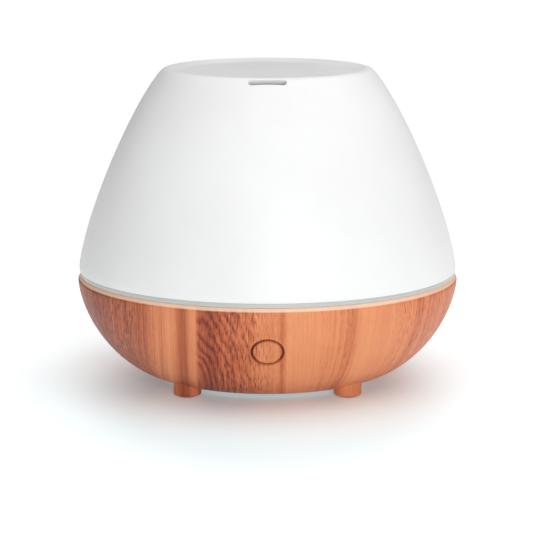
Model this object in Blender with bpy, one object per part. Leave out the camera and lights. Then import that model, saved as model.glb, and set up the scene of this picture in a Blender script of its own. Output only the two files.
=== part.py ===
"""Ultrasonic essential oil diffuser: frosted dome cover, inner splash cover, water tank and a
bowl-shaped base shell that holds the fan, driver board, light board, transducer and button.

Driving dimensions are in millimetres and are turned into metres when each mesh is made.
+Z is up, the button side faces -Y, and the foot pads stand on z = 0.
"""

import math

import bmesh
import bpy
from mathutils import Matrix, Vector

MM = 0.001
SEG = 44                # sides of the large round pieces

# base shell
SHELL_R = 84.0          # largest radius, at the wood's rim line
RIM_Z = 45.1            # height of that line
SHELL_TOP_Z = 47.2      # top of the chamfered rim
SHELL_TOP_R = 82.7
SHELL_LOW_Z = 2.2       # where the bowl's curve would reach its flat
SHELL_FLAT_R = 43.6
BOWL_P = 1.61           # exponents of the bowl's curve
BOWL_Q = 0.532
SHELL_T = 2.4
COVER_OPENING_R = 46.3
LEDGE_R = 38.5
LEDGE_Z0, LEDGE_Z1 = 4.6, 6.4

# dome cover
DOME_Z0 = 49.5
DOME_EDGE_R = 83.47
DOME_TOP_Z = 137.95
DOME_CORNER_R = 45.6    # where wall and top would meet without the fillet
DOME_FILLET = 4.75
DOME_LEAN = math.radians(40.7)
DOME_H1, DOME_H2 = 20.5, 21.8
DOME_T = 2.2
DISH_R, DISH_DEPTH = 38.0, 1.2
SLOT_W, SLOT_H = 16.0, 2.9
SLOT_R, SLOT_Z = 46.7, 136.5

# water tank
FLANGE_Z0, FLANGE_Z1 = 47.5, 49.2
FLANGE_R = 82.9
LIP_R0, LIP_R1, LIP_Z = 78.6, 80.3, 52.2
TANK_MOUTH_R = 68.0
TANK_FLOOR_Z, TANK_UNDER_Z = 24.0, 22.0
TANK_FLOOR_R = 46.0
AIR_X, AIR_Y = 0.0, 28.0
AIR_W, AIR_D = 32.0, 15.0
AIR_WALL = 2.0
AIR_TOP_Z = 58.0

# screw pillars under the tank, also the bottom cover's screws
PILLAR_XY = 29.7
PILLAR_R = 3.0

# transducer
TD_X, TD_Y = 0.0, -14.0
TD_SCREW_R = 17.5
TD_ANGLES = (90.0, 210.0, 330.0)

# light board
LED_R0, LED_R1 = 21.2, 29.5
LED_Z0, LED_Z1 = 18.4, 19.6
LED_ANGLES = (165.0, 207.0, 249.0, 291.0, 333.0, 375.0)
LED_SCREWS = (186.0, 354.0)

# driver board
BOARD_X = 24.0
BOARD_Y0, BOARD_Y1 = -33.0, -3.0
BOARD_Z0, BOARD_Z1 = 8.2, 9.8
BOARD_HOLES = ((-20.0, -29.0), (20.0, -29.0), (-20.5, -6.0), (20.5, -6.0))

# fan
FAN_X, FAN_Y = 0.0, 28.0
FAN_W = 40.0
FAN_Z0, FAN_Z1 = 8.2, 17.8
FAN_BORE = 18.8
FAN_HOLE = 16.0
FAN_SCREWS = ((-16.0, -16.0), (16.0, 16.0))
BLADES = 7

# button
BUTTON_Z = 27.5
BUTTON_HOLE_R = 6.85
BUTTON_R = 6.2
BUTTON_TRAVEL = 0.6

# power jack
JACK_Z = 27.0
JACK_HOLE_R = 5.2

# feet
FOOT_R = 52.7
FOOT_ANGLE = 41.0       # from the front
FOOT_HALF = 6.0
PAD_R = 4.3

# bottom cover
BOTTOM_R = 46.0
BOTTOM_Z0, BOTTOM_Z1 = 2.5, 4.3

for old in list(bpy.data.objects):
    bpy.data.objects.remove(old)


# ---------------------------------------------------------------- helpers

def make_material(name, colour, roughness, metallic=0.0, transmission=0.0):
    mat = bpy.data.materials.new(name)
    mat.use_nodes = True
    shader = mat.node_tree.nodes["Principled BSDF"]
    shader.inputs["Base Color"].default_value = (*colour, 1.0)
    shader.inputs["Roughness"].default_value = roughness
    shader.inputs["Metallic"].default_value = metallic
    shader.inputs["Transmission Weight"].default_value = transmission
    mat.diffuse_color = (*colour, 1.0)
    return mat


MATS = {
    "frosted": make_material("frosted_cover", (0.90, 0.90, 0.89), 0.45),
    "white": make_material("white_plastic", (0.82, 0.82, 0.80), 0.35),
    "clear": make_material("inner_cover", (0.80, 0.82, 0.82), 0.30),
    "wood": make_material("wood_grain", (0.62, 0.30, 0.15), 0.40),
    "rubber": make_material("rubber", (0.03, 0.03, 0.03), 0.80),
    "steel": make_material("steel", (0.60, 0.60, 0.60), 0.30, 1.0),
    "black": make_material("black_plastic", (0.02, 0.02, 0.02), 0.45),
    "board": make_material("circuit_board", (0.02, 0.18, 0.08), 0.40),
    "disc": make_material("transducer", (0.75, 0.68, 0.45), 0.25, 1.0),
    "aluminium": make_material("aluminium", (0.70, 0.70, 0.72), 0.35, 1.0),
    "lamp": make_material("led", (0.95, 0.90, 0.60), 0.20),
    "lead": make_material("lead", (0.45, 0.03, 0.03), 0.50),
}


def finish(bm, name, mat, origin=(0.0, 0.0, 0.0), smooth=30.0):
    """Turns millimetre geometry into a named object whose origin is at origin (mm)."""
    bmesh.ops.remove_doubles(bm, verts=bm.verts, dist=1e-5)
    bmesh.ops.recalc_face_normals(bm, faces=bm.faces)
    shift = Vector(origin)
    for v in bm.verts:
        v.co = (v.co - shift) * MM
    mesh = bpy.data.meshes.new(name)
    bm.to_mesh(mesh)
    bm.free()
    mesh.materials.append(MATS[mat])
    obj = bpy.data.objects.new(name, mesh)
    obj.location = shift * MM
    bpy.context.scene.collection.objects.link(obj)
    shade(obj, smooth)
    return obj


def shade(obj, angle=30.0):
    obj.data.shade_smooth()
    obj.data.set_sharp_from_angle(angle=math.radians(angle))


def add_lathe(bm, loop, seg, centre=(0.0, 0.0), matrix=None):
    """Adds the solid swept by a closed (r, z) loop. Points at r = 0 become poles."""
    rings = []
    for r, z in loop:
        if r < 1e-6:
            rings.append([bm.verts.new((centre[0], centre[1], z))])
        else:
            rings.append([
                bm.verts.new((
                    centre[0] + r * math.cos(2 * math.pi * k / seg),
                    centre[1] + r * math.sin(2 * math.pi * k / seg),
                    z,
                ))
                for k in range(seg)
            ])
    for a, b in zip(rings, rings[1:] + rings[:1]):
        if len(a) == 1 and len(b) == 1:
            continue
        for k in range(seg):
            n = (k + 1) % seg
            if len(a) == 1:
                bm.faces.new((a[0], b[n], b[k]))
            elif len(b) == 1:
                bm.faces.new((a[k], a[n], b[0]))
            else:
                bm.faces.new((a[k], a[n], b[n], b[k]))
    if matrix is not None:
        fresh = [v for ring in rings for v in ring]
        bmesh.ops.transform(bm, matrix=matrix, verts=fresh)


def add_rings(bm, rings, closed):
    """Skins equal-length rings of points: closed joins last to first, else the ends are capped."""
    made = [[bm.verts.new(p) for p in ring] for ring in rings]
    n = len(made[0])
    pairs = list(zip(made, made[1:]))
    if closed:
        pairs.append((made[-1], made[0]))
    for a, b in pairs:
        for k in range(n):
            m = (k + 1) % n
            bm.faces.new((a[k], a[m], b[m], b[k]))
    if not closed:
        bm.faces.new(list(reversed(made[0])))
        bm.faces.new(made[-1])
    return [v for ring in made for v in ring]


def add_box(bm, x0, x1, y0, y1, z0, z1, matrix=None):
    ring0 = [(x0, y0, z0), (x1, y0, z0), (x1, y1, z0), (x0, y1, z0)]
    ring1 = [(x, y, z1) for x, y, _ in ring0]
    made = add_rings(bm, [ring0, ring1], False)
    if matrix is not None:
        bmesh.ops.transform(bm, matrix=matrix, verts=made)


def add_cyl(bm, r, z0, z1, centre, seg=20, matrix=None):
    add_lathe(bm, [(0, z0), (r, z0), (r, z1), (0, z1)], seg, centre, matrix)


def stadium(width, depth, cx, cy, z, n=6):
    """Points round an oblong with half-round ends, its long side along X."""
    rad = depth / 2
    half = width / 2 - rad
    pts = []
    for k in range(n + 1):
        a = -math.pi / 2 + math.pi * k / n
        pts.append((cx + half + rad * math.cos(a), cy + rad * math.sin(a), z))
    for k in range(n + 1):
        a = math.pi / 2 + math.pi * k / n
        pts.append((cx - half + rad * math.cos(a), cy + rad * math.sin(a), z))
    return pts


def arc_block(bm, cx, cy, r0, r1, a0, a1, z0, z1, n):
    """A flat piece of ring between two angles in degrees."""
    inner, outer = [], []
    for k in range(n + 1):
        a = math.radians(a0 + (a1 - a0) * k / n)
        inner.append((cx + r0 * math.cos(a), cy + r0 * math.sin(a)))
        outer.append((cx + r1 * math.cos(a), cy + r1 * math.sin(a)))
    sections = [
        [(i[0], i[1], z0), (o[0], o[1], z0), (o[0], o[1], z1), (i[0], i[1], z1)]
        for i, o in zip(inner, outer)
    ]
    add_rings(bm, sections, False)


def boolean(obj, operation, build):
    """Applies one exact Boolean with the solids that build(bm) adds, in millimetres."""
    bm = bmesh.new()
    build(bm)
    tool = finish(bm, "tool", "steel")
    mod = obj.modifiers.new("cut", "BOOLEAN")
    mod.operation = operation
    mod.solver = "EXACT"
    mod.use_self = operation == "UNION"
    mod.object = tool
    bpy.context.view_layer.update()
    graph = bpy.context.evaluated_depsgraph_get()
    result = bpy.data.meshes.new_from_object(obj.evaluated_get(graph))
    obj.modifiers.clear()
    former = obj.data
    result.name = former.name
    obj.data = result
    bpy.data.meshes.remove(former)
    tool_mesh = tool.data
    bpy.data.objects.remove(tool)
    bpy.data.meshes.remove(tool_mesh)
    clean = bmesh.new()
    clean.from_mesh(result)
    bmesh.ops.remove_doubles(clean, verts=clean.verts, dist=2e-6)
    bmesh.ops.dissolve_degenerate(clean, edges=clean.edges, dist=2e-6)
    clean.to_mesh(result)
    clean.free()
    while len(result.materials) > 1:
        result.materials.pop()
    shade(obj)


def bezier(p0, p1, p2, p3, n):
    pts = []
    for k in range(n + 1):
        t = k / n
        a, b, c, d = (1 - t) ** 3, 3 * (1 - t) ** 2 * t, 3 * (1 - t) * t * t, t ** 3
        pts.append(tuple(a * w + b * x + c * y + d * z for w, x, y, z in zip(p0, p1, p2, p3)))
    return pts


def offset(pts, dist):
    """Moves each point of an (r, z) line to its left, seen along the line, by dist."""
    out = []
    for k, (r, z) in enumerate(pts):
        a = pts[max(k - 1, 0)]
        b = pts[min(k + 1, len(pts) - 1)]
        dr, dz = b[0] - a[0], b[1] - a[1]
        size = math.hypot(dr, dz)
        out.append((r - dz / size * dist, z + dr / size * dist))
    return out


def smooth_path(points, per=3):
    """A Catmull-Rom line through the points."""
    pts = [Vector(p) for p in points]
    pts = [pts[0] * 2 - pts[1]] + pts + [pts[-1] * 2 - pts[-2]]
    out = []
    for i in range(1, len(pts) - 2):
        p0, p1, p2, p3 = pts[i - 1:i + 3]
        for k in range(per):
            t = k / per
            out.append(0.5 * (2 * p1 + (p2 - p0) * t + (2 * p0 - 5 * p1 + 4 * p2 - p3) * t * t
                              + (3 * p1 - p0 - 3 * p2 + p3) * t ** 3))
    out.append(pts[-2])
    return out


def lead(name, points, radius, seg=6):
    path = smooth_path(points)
    rings = []
    side = None
    for k, p in enumerate(path):
        ahead = path[min(k + 1, len(path) - 1)] - path[max(k - 1, 0)]
        ahead.normalize()
        if side is None:
            side = ahead.orthogonal().normalized()
        side = (side - ahead * side.dot(ahead)).normalized()
        other = ahead.cross(side)
        rings.append([
            p + (side * math.cos(2 * math.pi * j / seg) + other * math.sin(2 * math.pi * j / seg)) * radius
            for j in range(seg)
        ])
    bm = bmesh.new()
    add_rings(bm, rings, False)
    return finish(bm, name, "lead", origin=tuple(path[0]))


def screw(name, x, y, head_r, head_z0, head_z1, shank_r, tip_z, up=True, origin=None):
    """A round-headed screw: the shank runs up from the head to tip_z, or down when up is False."""
    edge = min(0.4, (head_z1 - head_z0) * 0.35)
    if up:
        loop = [(0, head_z0), (head_r - edge, head_z0), (head_r, head_z0 + edge), (head_r, head_z1),
                (shank_r, head_z1), (shank_r, tip_z - shank_r * 0.6), (0, tip_z)]
    else:
        loop = [(0, head_z1), (head_r - edge, head_z1), (head_r, head_z1 - edge), (head_r, head_z0),
                (shank_r, head_z0), (shank_r, tip_z + shank_r * 0.6), (0, tip_z)]
    bm = bmesh.new()
    add_lathe(bm, loop, 10, (x, y))
    return finish(bm, name, "steel", origin=(x, y, (head_z0 + head_z1) / 2))


def bowl_r(z):
    t = (RIM_Z - z) / (RIM_Z - SHELL_LOW_Z)
    return SHELL_FLAT_R + (SHELL_R - SHELL_FLAT_R) * (1 - t ** BOWL_P) ** BOWL_Q


def bowl_points(n):
    """The bowl's outside from its bottom opening up to the rim line."""
    t_open = (1 - ((COVER_OPENING_R - SHELL_FLAT_R) / (SHELL_R - SHELL_FLAT_R)) ** (1 / BOWL_Q)) ** (1 / BOWL_P)
    s_open = math.asin(t_open)
    pts = []
    for k in range(n + 1):
        t = math.sin(s_open * (1 - k / n))
        z = RIM_Z - (RIM_Z - SHELL_LOW_Z) * t
        pts.append((bowl_r(z), z))
    return pts


def dome_points(n_wall, n_fillet):
    """The dome's outside from its bottom edge up to the start of the flat top."""
    turn = math.pi / 2 - DOME_LEAN
    reach = DOME_FILLET * math.tan(turn / 2)
    up = (-math.sin(DOME_LEAN), math.cos(DOME_LEAN))
    end = (DOME_CORNER_R - up[0] * reach, DOME_TOP_Z - up[1] * reach)
    wall = bezier((SHELL_R, RIM_Z), (SHELL_R, RIM_Z + DOME_H1),
                  (end[0] - up[0] * DOME_H2, end[1] - up[1] * DOME_H2), end, n_wall)
    wall = [p for p in wall if p[1] > DOME_Z0 + 1.5]
    cx, cz = end[0] - math.cos(DOME_LEAN) * DOME_FILLET, end[1] - math.sin(DOME_LEAN) * DOME_FILLET
    arc = [
        (cx + DOME_FILLET * math.cos(DOME_LEAN + turn * k / n_fillet),
         cz + DOME_FILLET * math.sin(DOME_LEAN + turn * k / n_fillet))
        for k in range(1, n_fillet + 1)
    ]
    return wall + arc


# ---------------------------------------------------------------- dome cover

outside = dome_points(9, 3)
inside = [p for p in offset(outside[:-3], DOME_T) if p[1] < DOME_TOP_Z - DISH_DEPTH - DOME_T - 1.2]
ceiling = DOME_TOP_Z - DISH_DEPTH - DOME_T
top_r = outside[-1][0]
loop = [(DOME_EDGE_R - 0.5, DOME_Z0), (DOME_EDGE_R, DOME_Z0 + 0.5)] + outside
loop += [(top_r - 1.6, DOME_TOP_Z), (top_r - 2.6, DOME_TOP_Z - 0.35), (DISH_R + 1.2, DOME_TOP_Z - DISH_DEPTH + 0.1),
         (DISH_R - 0.5, DOME_TOP_Z - DISH_DEPTH), (0, DOME_TOP_Z - DISH_DEPTH)]
loop += [(0, ceiling), (inside[-1][0] - 2.0, ceiling), (inside[-1][0] - 0.7, ceiling - 0.35)]
loop += list(reversed(inside)) + [(DOME_EDGE_R - DOME_T, DOME_Z0)]
bm = bmesh.new()
add_lathe(bm, loop, SEG)
dome = finish(bm, "dome_cover", "frosted")


def slot_tool(bm):
    # local z runs out through the shoulder, towards the front and up
    lean = math.radians(36)
    out = Vector((0, -math.sin(lean) * 1.0, math.cos(lean)))
    along = Vector((1, 0, 0))
    across = out.cross(along)
    matrix = Matrix((along, across, out)).transposed().to_4x4()
    matrix.translation = Vector((0, -SLOT_R, SLOT_Z))
    made = add_rings(bm, [stadium(SLOT_W, SLOT_H, 0, 0, -6.0), stadium(SLOT_W, SLOT_H, 0, 0, 4.0)], False)
    bmesh.ops.transform(bm, matrix=matrix, verts=made)


boolean(dome, "DIFFERENCE", slot_tool)

# ---------------------------------------------------------------- inner splash cover


NECK_U = 0.55           # where the skirt ends and the chimney begins
SPIGOT_R = 12.2         # chimney's spigot inside the skirt's neck


def cover_ring(u, inset, n=28):
    """One level of the inner cover. u runs 0 at the rim to 1 at the mist mouth."""
    z_line = bezier((72.0, 51.6), (60.0, 58.0), (20.0, 60.0), (14.0, 84.0), 20)
    if u <= NECK_U:
        f = u / NECK_U * 20
        k = min(int(f), 19)
        f -= k
        r = z_line[k][0] * (1 - f) + z_line[k + 1][0] * f
        z = z_line[k][1] * (1 - f) + z_line[k + 1][1] * f
        a = b = r
        y = 0.0
    else:
        f = (u - NECK_U) / (1 - NECK_U)
        z = 84.0 + 41.0 * f
        s = f * f * (3 - 2 * f)
        a = 14.0 - 3.5 * s
        b = 14.0 - 8.5 * s
        y = -37.0 * s
    a, b = a - inset, b - inset
    return [(a * math.cos(2 * math.pi * k / n), y + b * math.sin(2 * math.pi * k / n), z) for k in range(n)]


skirt_levels = [NECK_U * k / 7 for k in range(8)]
rim_outer = [
    [(r * math.cos(2 * math.pi * k / 28), r * math.sin(2 * math.pi * k / 28), z) for k in range(28)]
    for r, z in ((71.0, 49.6), (76.0, 49.6), (76.0, 51.2), (72.6, 51.4))
]
outer_rings = [cover_ring(u, 0.0) for u in skirt_levels]
inner_rings = [cover_ring(u, 1.5) for u in skirt_levels]
low = []
for ring in inner_rings:
    low.append([(x, y, z - 0.6 if ring is not inner_rings[-1] else z) for x, y, z in ring])
bm = bmesh.new()
add_rings(bm, rim_outer + outer_rings + list(reversed(low)), True)
finish(bm, "inner_cover", "clear")

# leaning chimney, pressed into the cover's neck by a short spigot
lean_levels = [NECK_U + (1 - NECK_U) * f for f in (0.3 / 41.0, 0.15, 0.3, 0.45, 0.6, 0.75, 0.88, 1.0)]


def round_ring(r, z, n=28):
    return [(r * math.cos(2 * math.pi * k / n), r * math.sin(2 * math.pi * k / n), z) for k in range(n)]


rings = [round_ring(SPIGOT_R, 84.3), round_ring(SPIGOT_R, 80.6), round_ring(SPIGOT_R - 0.75, 80.6), round_ring(SPIGOT_R - 0.75, 84.6)]
rings += [cover_ring(u, 1.5) for u in lean_levels[1:]] + [cover_ring(u, 0.0) for u in reversed(lean_levels)]
bm = bmesh.new()
add_rings(bm, rings, True)
finish(bm, "mist_chimney", "clear")

# ---------------------------------------------------------------- water tank

basin_in = bezier((TANK_MOUTH_R, FLANGE_Z1 - 0.8), (TANK_MOUTH_R, 34.0), (61.0, TANK_FLOOR_Z), (TANK_FLOOR_R, TANK_FLOOR_Z), 5)
basin_out = bezier((TANK_MOUTH_R + 2.0, FLANGE_Z0), (TANK_MOUTH_R + 2.0, 33.5), (62.0, TANK_UNDER_Z), (TANK_FLOOR_R, TANK_UNDER_Z), 5)
loop = [(0, TANK_UNDER_Z)] + list(reversed(basin_out))
loop += [(FLANGE_R - 0.3, FLANGE_Z0), (FLANGE_R, FLANGE_Z0 + 0.3), (FLANGE_R, FLANGE_Z1 - 0.3), (FLANGE_R - 0.3, FLANGE_Z1),
         (LIP_R1, FLANGE_Z1), (LIP_R1, LIP_Z - 0.4), (LIP_R1 - 0.4, LIP_Z), (LIP_R0, LIP_Z), (LIP_R0, FLANGE_Z1),
         (TANK_MOUTH_R + 0.8, FLANGE_Z1)]
loop += basin_in + [(0, TANK_FLOOR_Z)]
bm = bmesh.new()
add_lathe(bm, loop, SEG)
tank = finish(bm, "water_tank", "white")


def td_point(angle, radius=TD_SCREW_R):
    a = math.radians(angle)
    return TD_X + radius * math.cos(a), TD_Y + radius * math.sin(a)


def tank_additions(bm):
    for sx in (-1, 1):
        for sy in (-1, 1):
            add_cyl(bm, PILLAR_R, 6.7, TANK_UNDER_Z + 1.0, (sx * PILLAR_XY, sy * PILLAR_XY), 12)
    for dx, dy in FAN_SCREWS:
        add_cyl(bm, 2.8, FAN_Z1 + 0.3, TANK_UNDER_Z + 1.0, (FAN_X + dx, FAN_Y + dy), 12)
    for angle in LED_SCREWS:
        add_cyl(bm, 2.5, LED_Z1 + 0.3, TANK_UNDER_Z + 1.0, td_point(angle, (LED_R0 + LED_R1) / 2), 12)


def transducer_well(bm):
    add_lathe(bm, [(12.5, 18.6), (15.5, 18.6), (15.5, 23.0), (12.5, 23.0)], 24, (TD_X, TD_Y))


def clamp_bosses(bm):
    for angle in TD_ANGLES:
        add_cyl(bm, 2.6, 18.6, TANK_UNDER_Z + 1.0, td_point(angle), 12)


def tank_cuts(bm):
    add_rings(bm, [stadium(AIR_W - 2 * AIR_WALL, AIR_D - 2 * AIR_WALL, AIR_X, AIR_Y, z) for z in (TANK_UNDER_Z - 2, AIR_TOP_Z + 2)], False)
    add_cyl(bm, 8.2, TANK_UNDER_Z - 1.0, TANK_FLOOR_Z + 1.0, (TD_X, TD_Y), 24)
    for sx in (-1, 1):
        for sy in (-1, 1):
            add_cyl(bm, 1.6, 5.0, 14.0, (sx * PILLAR_XY, sy * PILLAR_XY), 12)
    for dx, dy in FAN_SCREWS:
        add_cyl(bm, 1.6, 16.0, 22.6, (FAN_X + dx, FAN_Y + dy), 12)
    for angle in LED_SCREWS:
        add_cyl(bm, 1.3, 18.0, 22.6, td_point(angle, (LED_R0 + LED_R1) / 2), 12)
    for angle in TD_ANGLES:
        add_cyl(bm, 1.4, 17.5, 22.6, td_point(angle), 12)


boolean(tank, "UNION", tank_additions)
boolean(tank, "UNION", transducer_well)
boolean(tank, "UNION", clamp_bosses)
boolean(tank, "DIFFERENCE", tank_cuts)

# oblong air duct that stands round the hole in the tank's floor
duct_rings = [stadium(AIR_W, AIR_D, AIR_X, AIR_Y, z) for z in (TANK_FLOOR_Z + 0.3, AIR_TOP_Z)]
duct_rings += [stadium(AIR_W - 2 * AIR_WALL, AIR_D - 2 * AIR_WALL, AIR_X, AIR_Y, z) for z in (AIR_TOP_Z, TANK_FLOOR_Z + 0.3)]
bm = bmesh.new()
add_rings(bm, duct_rings, True)
finish(bm, "air_duct", "white")

# ---------------------------------------------------------------- base shell

outer = bowl_points(8)
inner = [p for p in offset(outer, SHELL_T) if p[1] > LEDGE_Z1 + 1.0]
loop = outer + [(SHELL_R - 0.15, RIM_Z + 0.45), (SHELL_TOP_R, SHELL_TOP_Z), (SHELL_R - SHELL_T - 0.4, SHELL_TOP_Z)]
loop += list(reversed(inner))
edge_r = inner[0][0] - 2.0
loop += [(edge_r, LEDGE_Z1), (LEDGE_R, LEDGE_Z1), (LEDGE_R, LEDGE_Z0), (COVER_OPENING_R, LEDGE_Z0)]
bm = bmesh.new()
add_lathe(bm, loop, SEG)
shell = finish(bm, "wood_shell", "wood")

slope = (bowl_r(BUTTON_Z + 0.01) - bowl_r(BUTTON_Z - 0.01)) / 0.02
lean = math.atan(slope)
BUTTON_OUT = Vector((0, -math.cos(lean), -math.sin(lean)))
BUTTON_AT = Vector((0, -bowl_r(BUTTON_Z), BUTTON_Z))
along = Vector((1, 0, 0))
up = BUTTON_OUT.cross(along)
BUTTON_FRAME = Matrix((along, up, BUTTON_OUT)).transposed().to_4x4()
BUTTON_FRAME.translation = BUTTON_AT

# cylinder axis along +Y at the jack's height
JACK_FRAME = Matrix.Translation((0, 0, JACK_Z)) @ Matrix.Rotation(math.radians(-90), 4, "X")


def foot_points():
    for sx, sy in ((-1, -1), (1, -1), (-1, 1), (1, 1)):
        a = math.radians(FOOT_ANGLE)
        yield sx * FOOT_R * math.sin(a), sy * FOOT_R * math.cos(a)


def feet(bm):
    for x, y in foot_points():
        add_lathe(bm, [(0, 0.5), (FOOT_HALF - 0.9, 0.5), (FOOT_HALF - 0.25, 0.8), (FOOT_HALF, 1.5), (FOOT_HALF, 6.9), (0, 6.9)], 14, (x, y))


def shell_cuts(bm):
    for x, y in foot_points():
        add_cyl(bm, PAD_R + 0.3, -1.0, 1.8, (x, y), 14)
    for sx in (-1, 1):
        for sy in (-1, 1):
            add_cyl(bm, 1.7, LEDGE_Z0 - 1, LEDGE_Z1 + 1, (sx * PILLAR_XY, sy * PILLAR_XY), 12)
    add_cyl(bm, BUTTON_HOLE_R, -8.0, 4.0, (0, 0), 32, BUTTON_FRAME)
    add_cyl(bm, JACK_HOLE_R, 70.0, 90.0, (0, 0), 24, JACK_FRAME)


boolean(shell, "UNION", feet)
boolean(shell, "DIFFERENCE", shell_cuts)

# ---------------------------------------------------------------- foot pads

for index, (x, y) in enumerate(foot_points()):
    bm = bmesh.new()
    add_lathe(bm, [(0, 0), (PAD_R - 0.3, 0), (PAD_R, 0.3), (PAD_R, 1.5), (0, 1.5)], 14, (x, y))
    finish(bm, "foot_pad_%d" % (index + 1), "rubber", origin=(x, y, 0))

# ---------------------------------------------------------------- bottom cover

bm = bmesh.new()
add_lathe(bm, [(0, BOTTOM_Z0), (BOTTOM_R - 0.4, BOTTOM_Z0), (BOTTOM_R, BOTTOM_Z0 + 0.4), (BOTTOM_R, BOTTOM_Z1), (0, BOTTOM_Z1)], SEG)
bottom = finish(bm, "bottom_cover", "white")


def standoffs(bm):
    for x, y in BOARD_HOLES:
        add_cyl(bm, 2.4, BOTTOM_Z1 - 0.8, BOARD_Z0 - 0.3, (x, y), 16)


def grille(bm):
    for radius in (5.0, 10.8, 16.6):
        for k in range(4):
            gap = math.degrees(1.3 / radius)
            arc_block(bm, FAN_X, FAN_Y - 2.5, radius - 1.5, radius + 1.5, 45 + 90 * k + gap, 135 + 90 * k - gap,
                      BOTTOM_Z0 - 1, BOTTOM_Z1 + 1, 4)
    for sx in (-1, 1):
        for sy in (-1, 1):
            add_cyl(bm, 1.7, BOTTOM_Z0 - 1, BOTTOM_Z1 + 1, (sx * PILLAR_XY, sy * PILLAR_XY), 12)
    for x, y in BOARD_HOLES:
        add_cyl(bm, 1.2, 5.0, 9.0, (x, y), 12)


boolean(bottom, "UNION", standoffs)
boolean(bottom, "DIFFERENCE", grille)

index = 0
for sx in (-1, 1):
    for sy in (-1, 1):
        index += 1
        screw("bottom_screw_%d" % index, sx * PILLAR_XY, sy * PILLAR_XY, 2.5, 0.9, 2.2, 1.3, 12.5)

# ---------------------------------------------------------------- transducer

bm = bmesh.new()
add_lathe(bm, [(0, 19.6), (9.7, 19.6), (10.0, 19.8), (10.0, 20.3), (9.7, 20.5), (0, 20.5)], 24, (TD_X, TD_Y))
finish(bm, "transducer_disc", "disc", origin=(TD_X, TD_Y, 20))

bm = bmesh.new()
add_lathe(bm, [(7.8, 18.7), (12.2, 18.7), (12.2, 21.7), (7.8, 21.7), (7.8, 20.8), (10.3, 20.8), (10.3, 19.3), (7.8, 19.3)], 24, (TD_X, TD_Y))
finish(bm, "transducer_seal", "rubber", origin=(TD_X, TD_Y, 20))

bm = bmesh.new()
add_lathe(bm, [(6.5, 17.0), (20.3, 17.0), (20.3, 18.3), (6.5, 18.3)], 28, (TD_X, TD_Y))
clamp = finish(bm, "transducer_clamp", "steel", origin=(TD_X, TD_Y, 17.6))


def clamp_holes(bm):
    for angle in TD_ANGLES:
        add_cyl(bm, 1.5, 16.0, 19.0, td_point(angle), 12)


boolean(clamp, "DIFFERENCE", clamp_holes)
for index, angle in enumerate(TD_ANGLES):
    x, y = td_point(angle)
    screw("clamp_screw_%d" % (index + 1), x, y, 2.2, 15.4, 16.7, 1.1, 22.0)

# ---------------------------------------------------------------- light board

bm = bmesh.new()
arc_block(bm, TD_X, TD_Y, LED_R0, LED_R1, 152.0, 388.0, LED_Z0, LED_Z1, 30)
light_board = finish(bm, "led_board", "board")


def light_board_holes(bm):
    for angle in LED_SCREWS:
        add_cyl(bm, 1.4, LED_Z0 - 1, LED_Z1 + 1, td_point(angle, (LED_R0 + LED_R1) / 2), 12)


boolean(light_board, "DIFFERENCE", light_board_holes)
for index, angle in enumerate(LED_ANGLES):
    x, y = td_point(angle, (LED_R0 + LED_R1) / 2)
    spin = Matrix.Translation((x, y, 0)) @ Matrix.Rotation(math.radians(angle), 4, "Z")
    bm = bmesh.new()
    add_box(bm, -2.5, 2.5, -2.5, 2.5, LED_Z1 + 0.3, LED_Z1 + 1.5, spin)
    add_lens = [(0, LED_Z1 + 1.0), (1.9, LED_Z1 + 1.0), (1.9, LED_Z1 + 1.7), (1.4, LED_Z1 + 2.0), (0, LED_Z1 + 2.1)]
    led = finish(bm, "led_%d" % (index + 1), "lamp", origin=(x, y, LED_Z1))

    def lens(tool, at=(x, y), line=tuple(add_lens)):
        add_lathe(tool, list(line), 16, at)

    boolean(led, "UNION", lens)
for index, angle in enumerate(LED_SCREWS):
    x, y = td_point(angle, (LED_R0 + LED_R1) / 2)
    screw("led_board_screw_%d" % (index + 1), x, y, 2.0, 16.9, 18.1, 1.0, 22.0)

# ---------------------------------------------------------------- driver board

bm = bmesh.new()
add_box(bm, -BOARD_X, BOARD_X, BOARD_Y0, BOARD_Y1, BOARD_Z0, BOARD_Z1)
board = finish(bm, "driver_board", "board")


def board_holes(bm):
    for x, y in BOARD_HOLES:
        add_cyl(bm, 1.4, BOARD_Z0 - 1, BOARD_Z1 + 1, (x, y), 12)


boolean(board, "DIFFERENCE", board_holes)
for index, (x, y) in enumerate(BOARD_HOLES):
    screw("board_screw_%d" % (index + 1), x, y, 2.1, BOARD_Z1 + 0.3, BOARD_Z1 + 1.5, 0.9, 5.4, up=False)

bm = bmesh.new()
add_lathe(bm, [(0, 10.1), (4.8, 10.1), (4.8, 11.0), (3.6, 11.5), (3.6, 14.2), (4.8, 14.7), (4.8, 15.6), (0, 15.6)], 24, (-9.0, -11.0))
finish(bm, "inductor", "black", origin=(-9.0, -11.0, 10.1))
for index, (x, y) in enumerate(((13.2, -28.2), (10.0, -8.5))):
    bm = bmesh.new()
    add_lathe(bm, [(0, 10.1), (3.1, 10.1), (3.1, 10.9), (2.9, 11.2), (3.1, 11.5), (3.1, 16.0), (2.7, 16.4), (0, 16.4)], 20, (x, y))
    finish(bm, "capacitor_%d" % (index + 1), "aluminium", origin=(x, y, 10.1))

# heat sink: a back plate with fins along it, in one closed outline
bm = bmesh.new()
fin_ring = [(-12.0, -28.7)]
fins = 6
pitch = 20.0 / (fins * 2 - 1)
for k in range(fins):
    x0 = -12.0 + 2 * k * pitch
    fin_ring += [(x0, -32.4), (x0 + pitch, -32.4)]
    if k < fins - 1:
        fin_ring += [(x0 + pitch, -30.0), (x0 + 2 * pitch, -30.0)]
fin_ring.append((8.0, -28.7))
add_rings(bm, [[(x, y, z) for x, y in fin_ring] for z in (10.1, 16.2)], False)
finish(bm, "heat_sink", "aluminium", origin=(-2.0, -30.0, 10.1))

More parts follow.
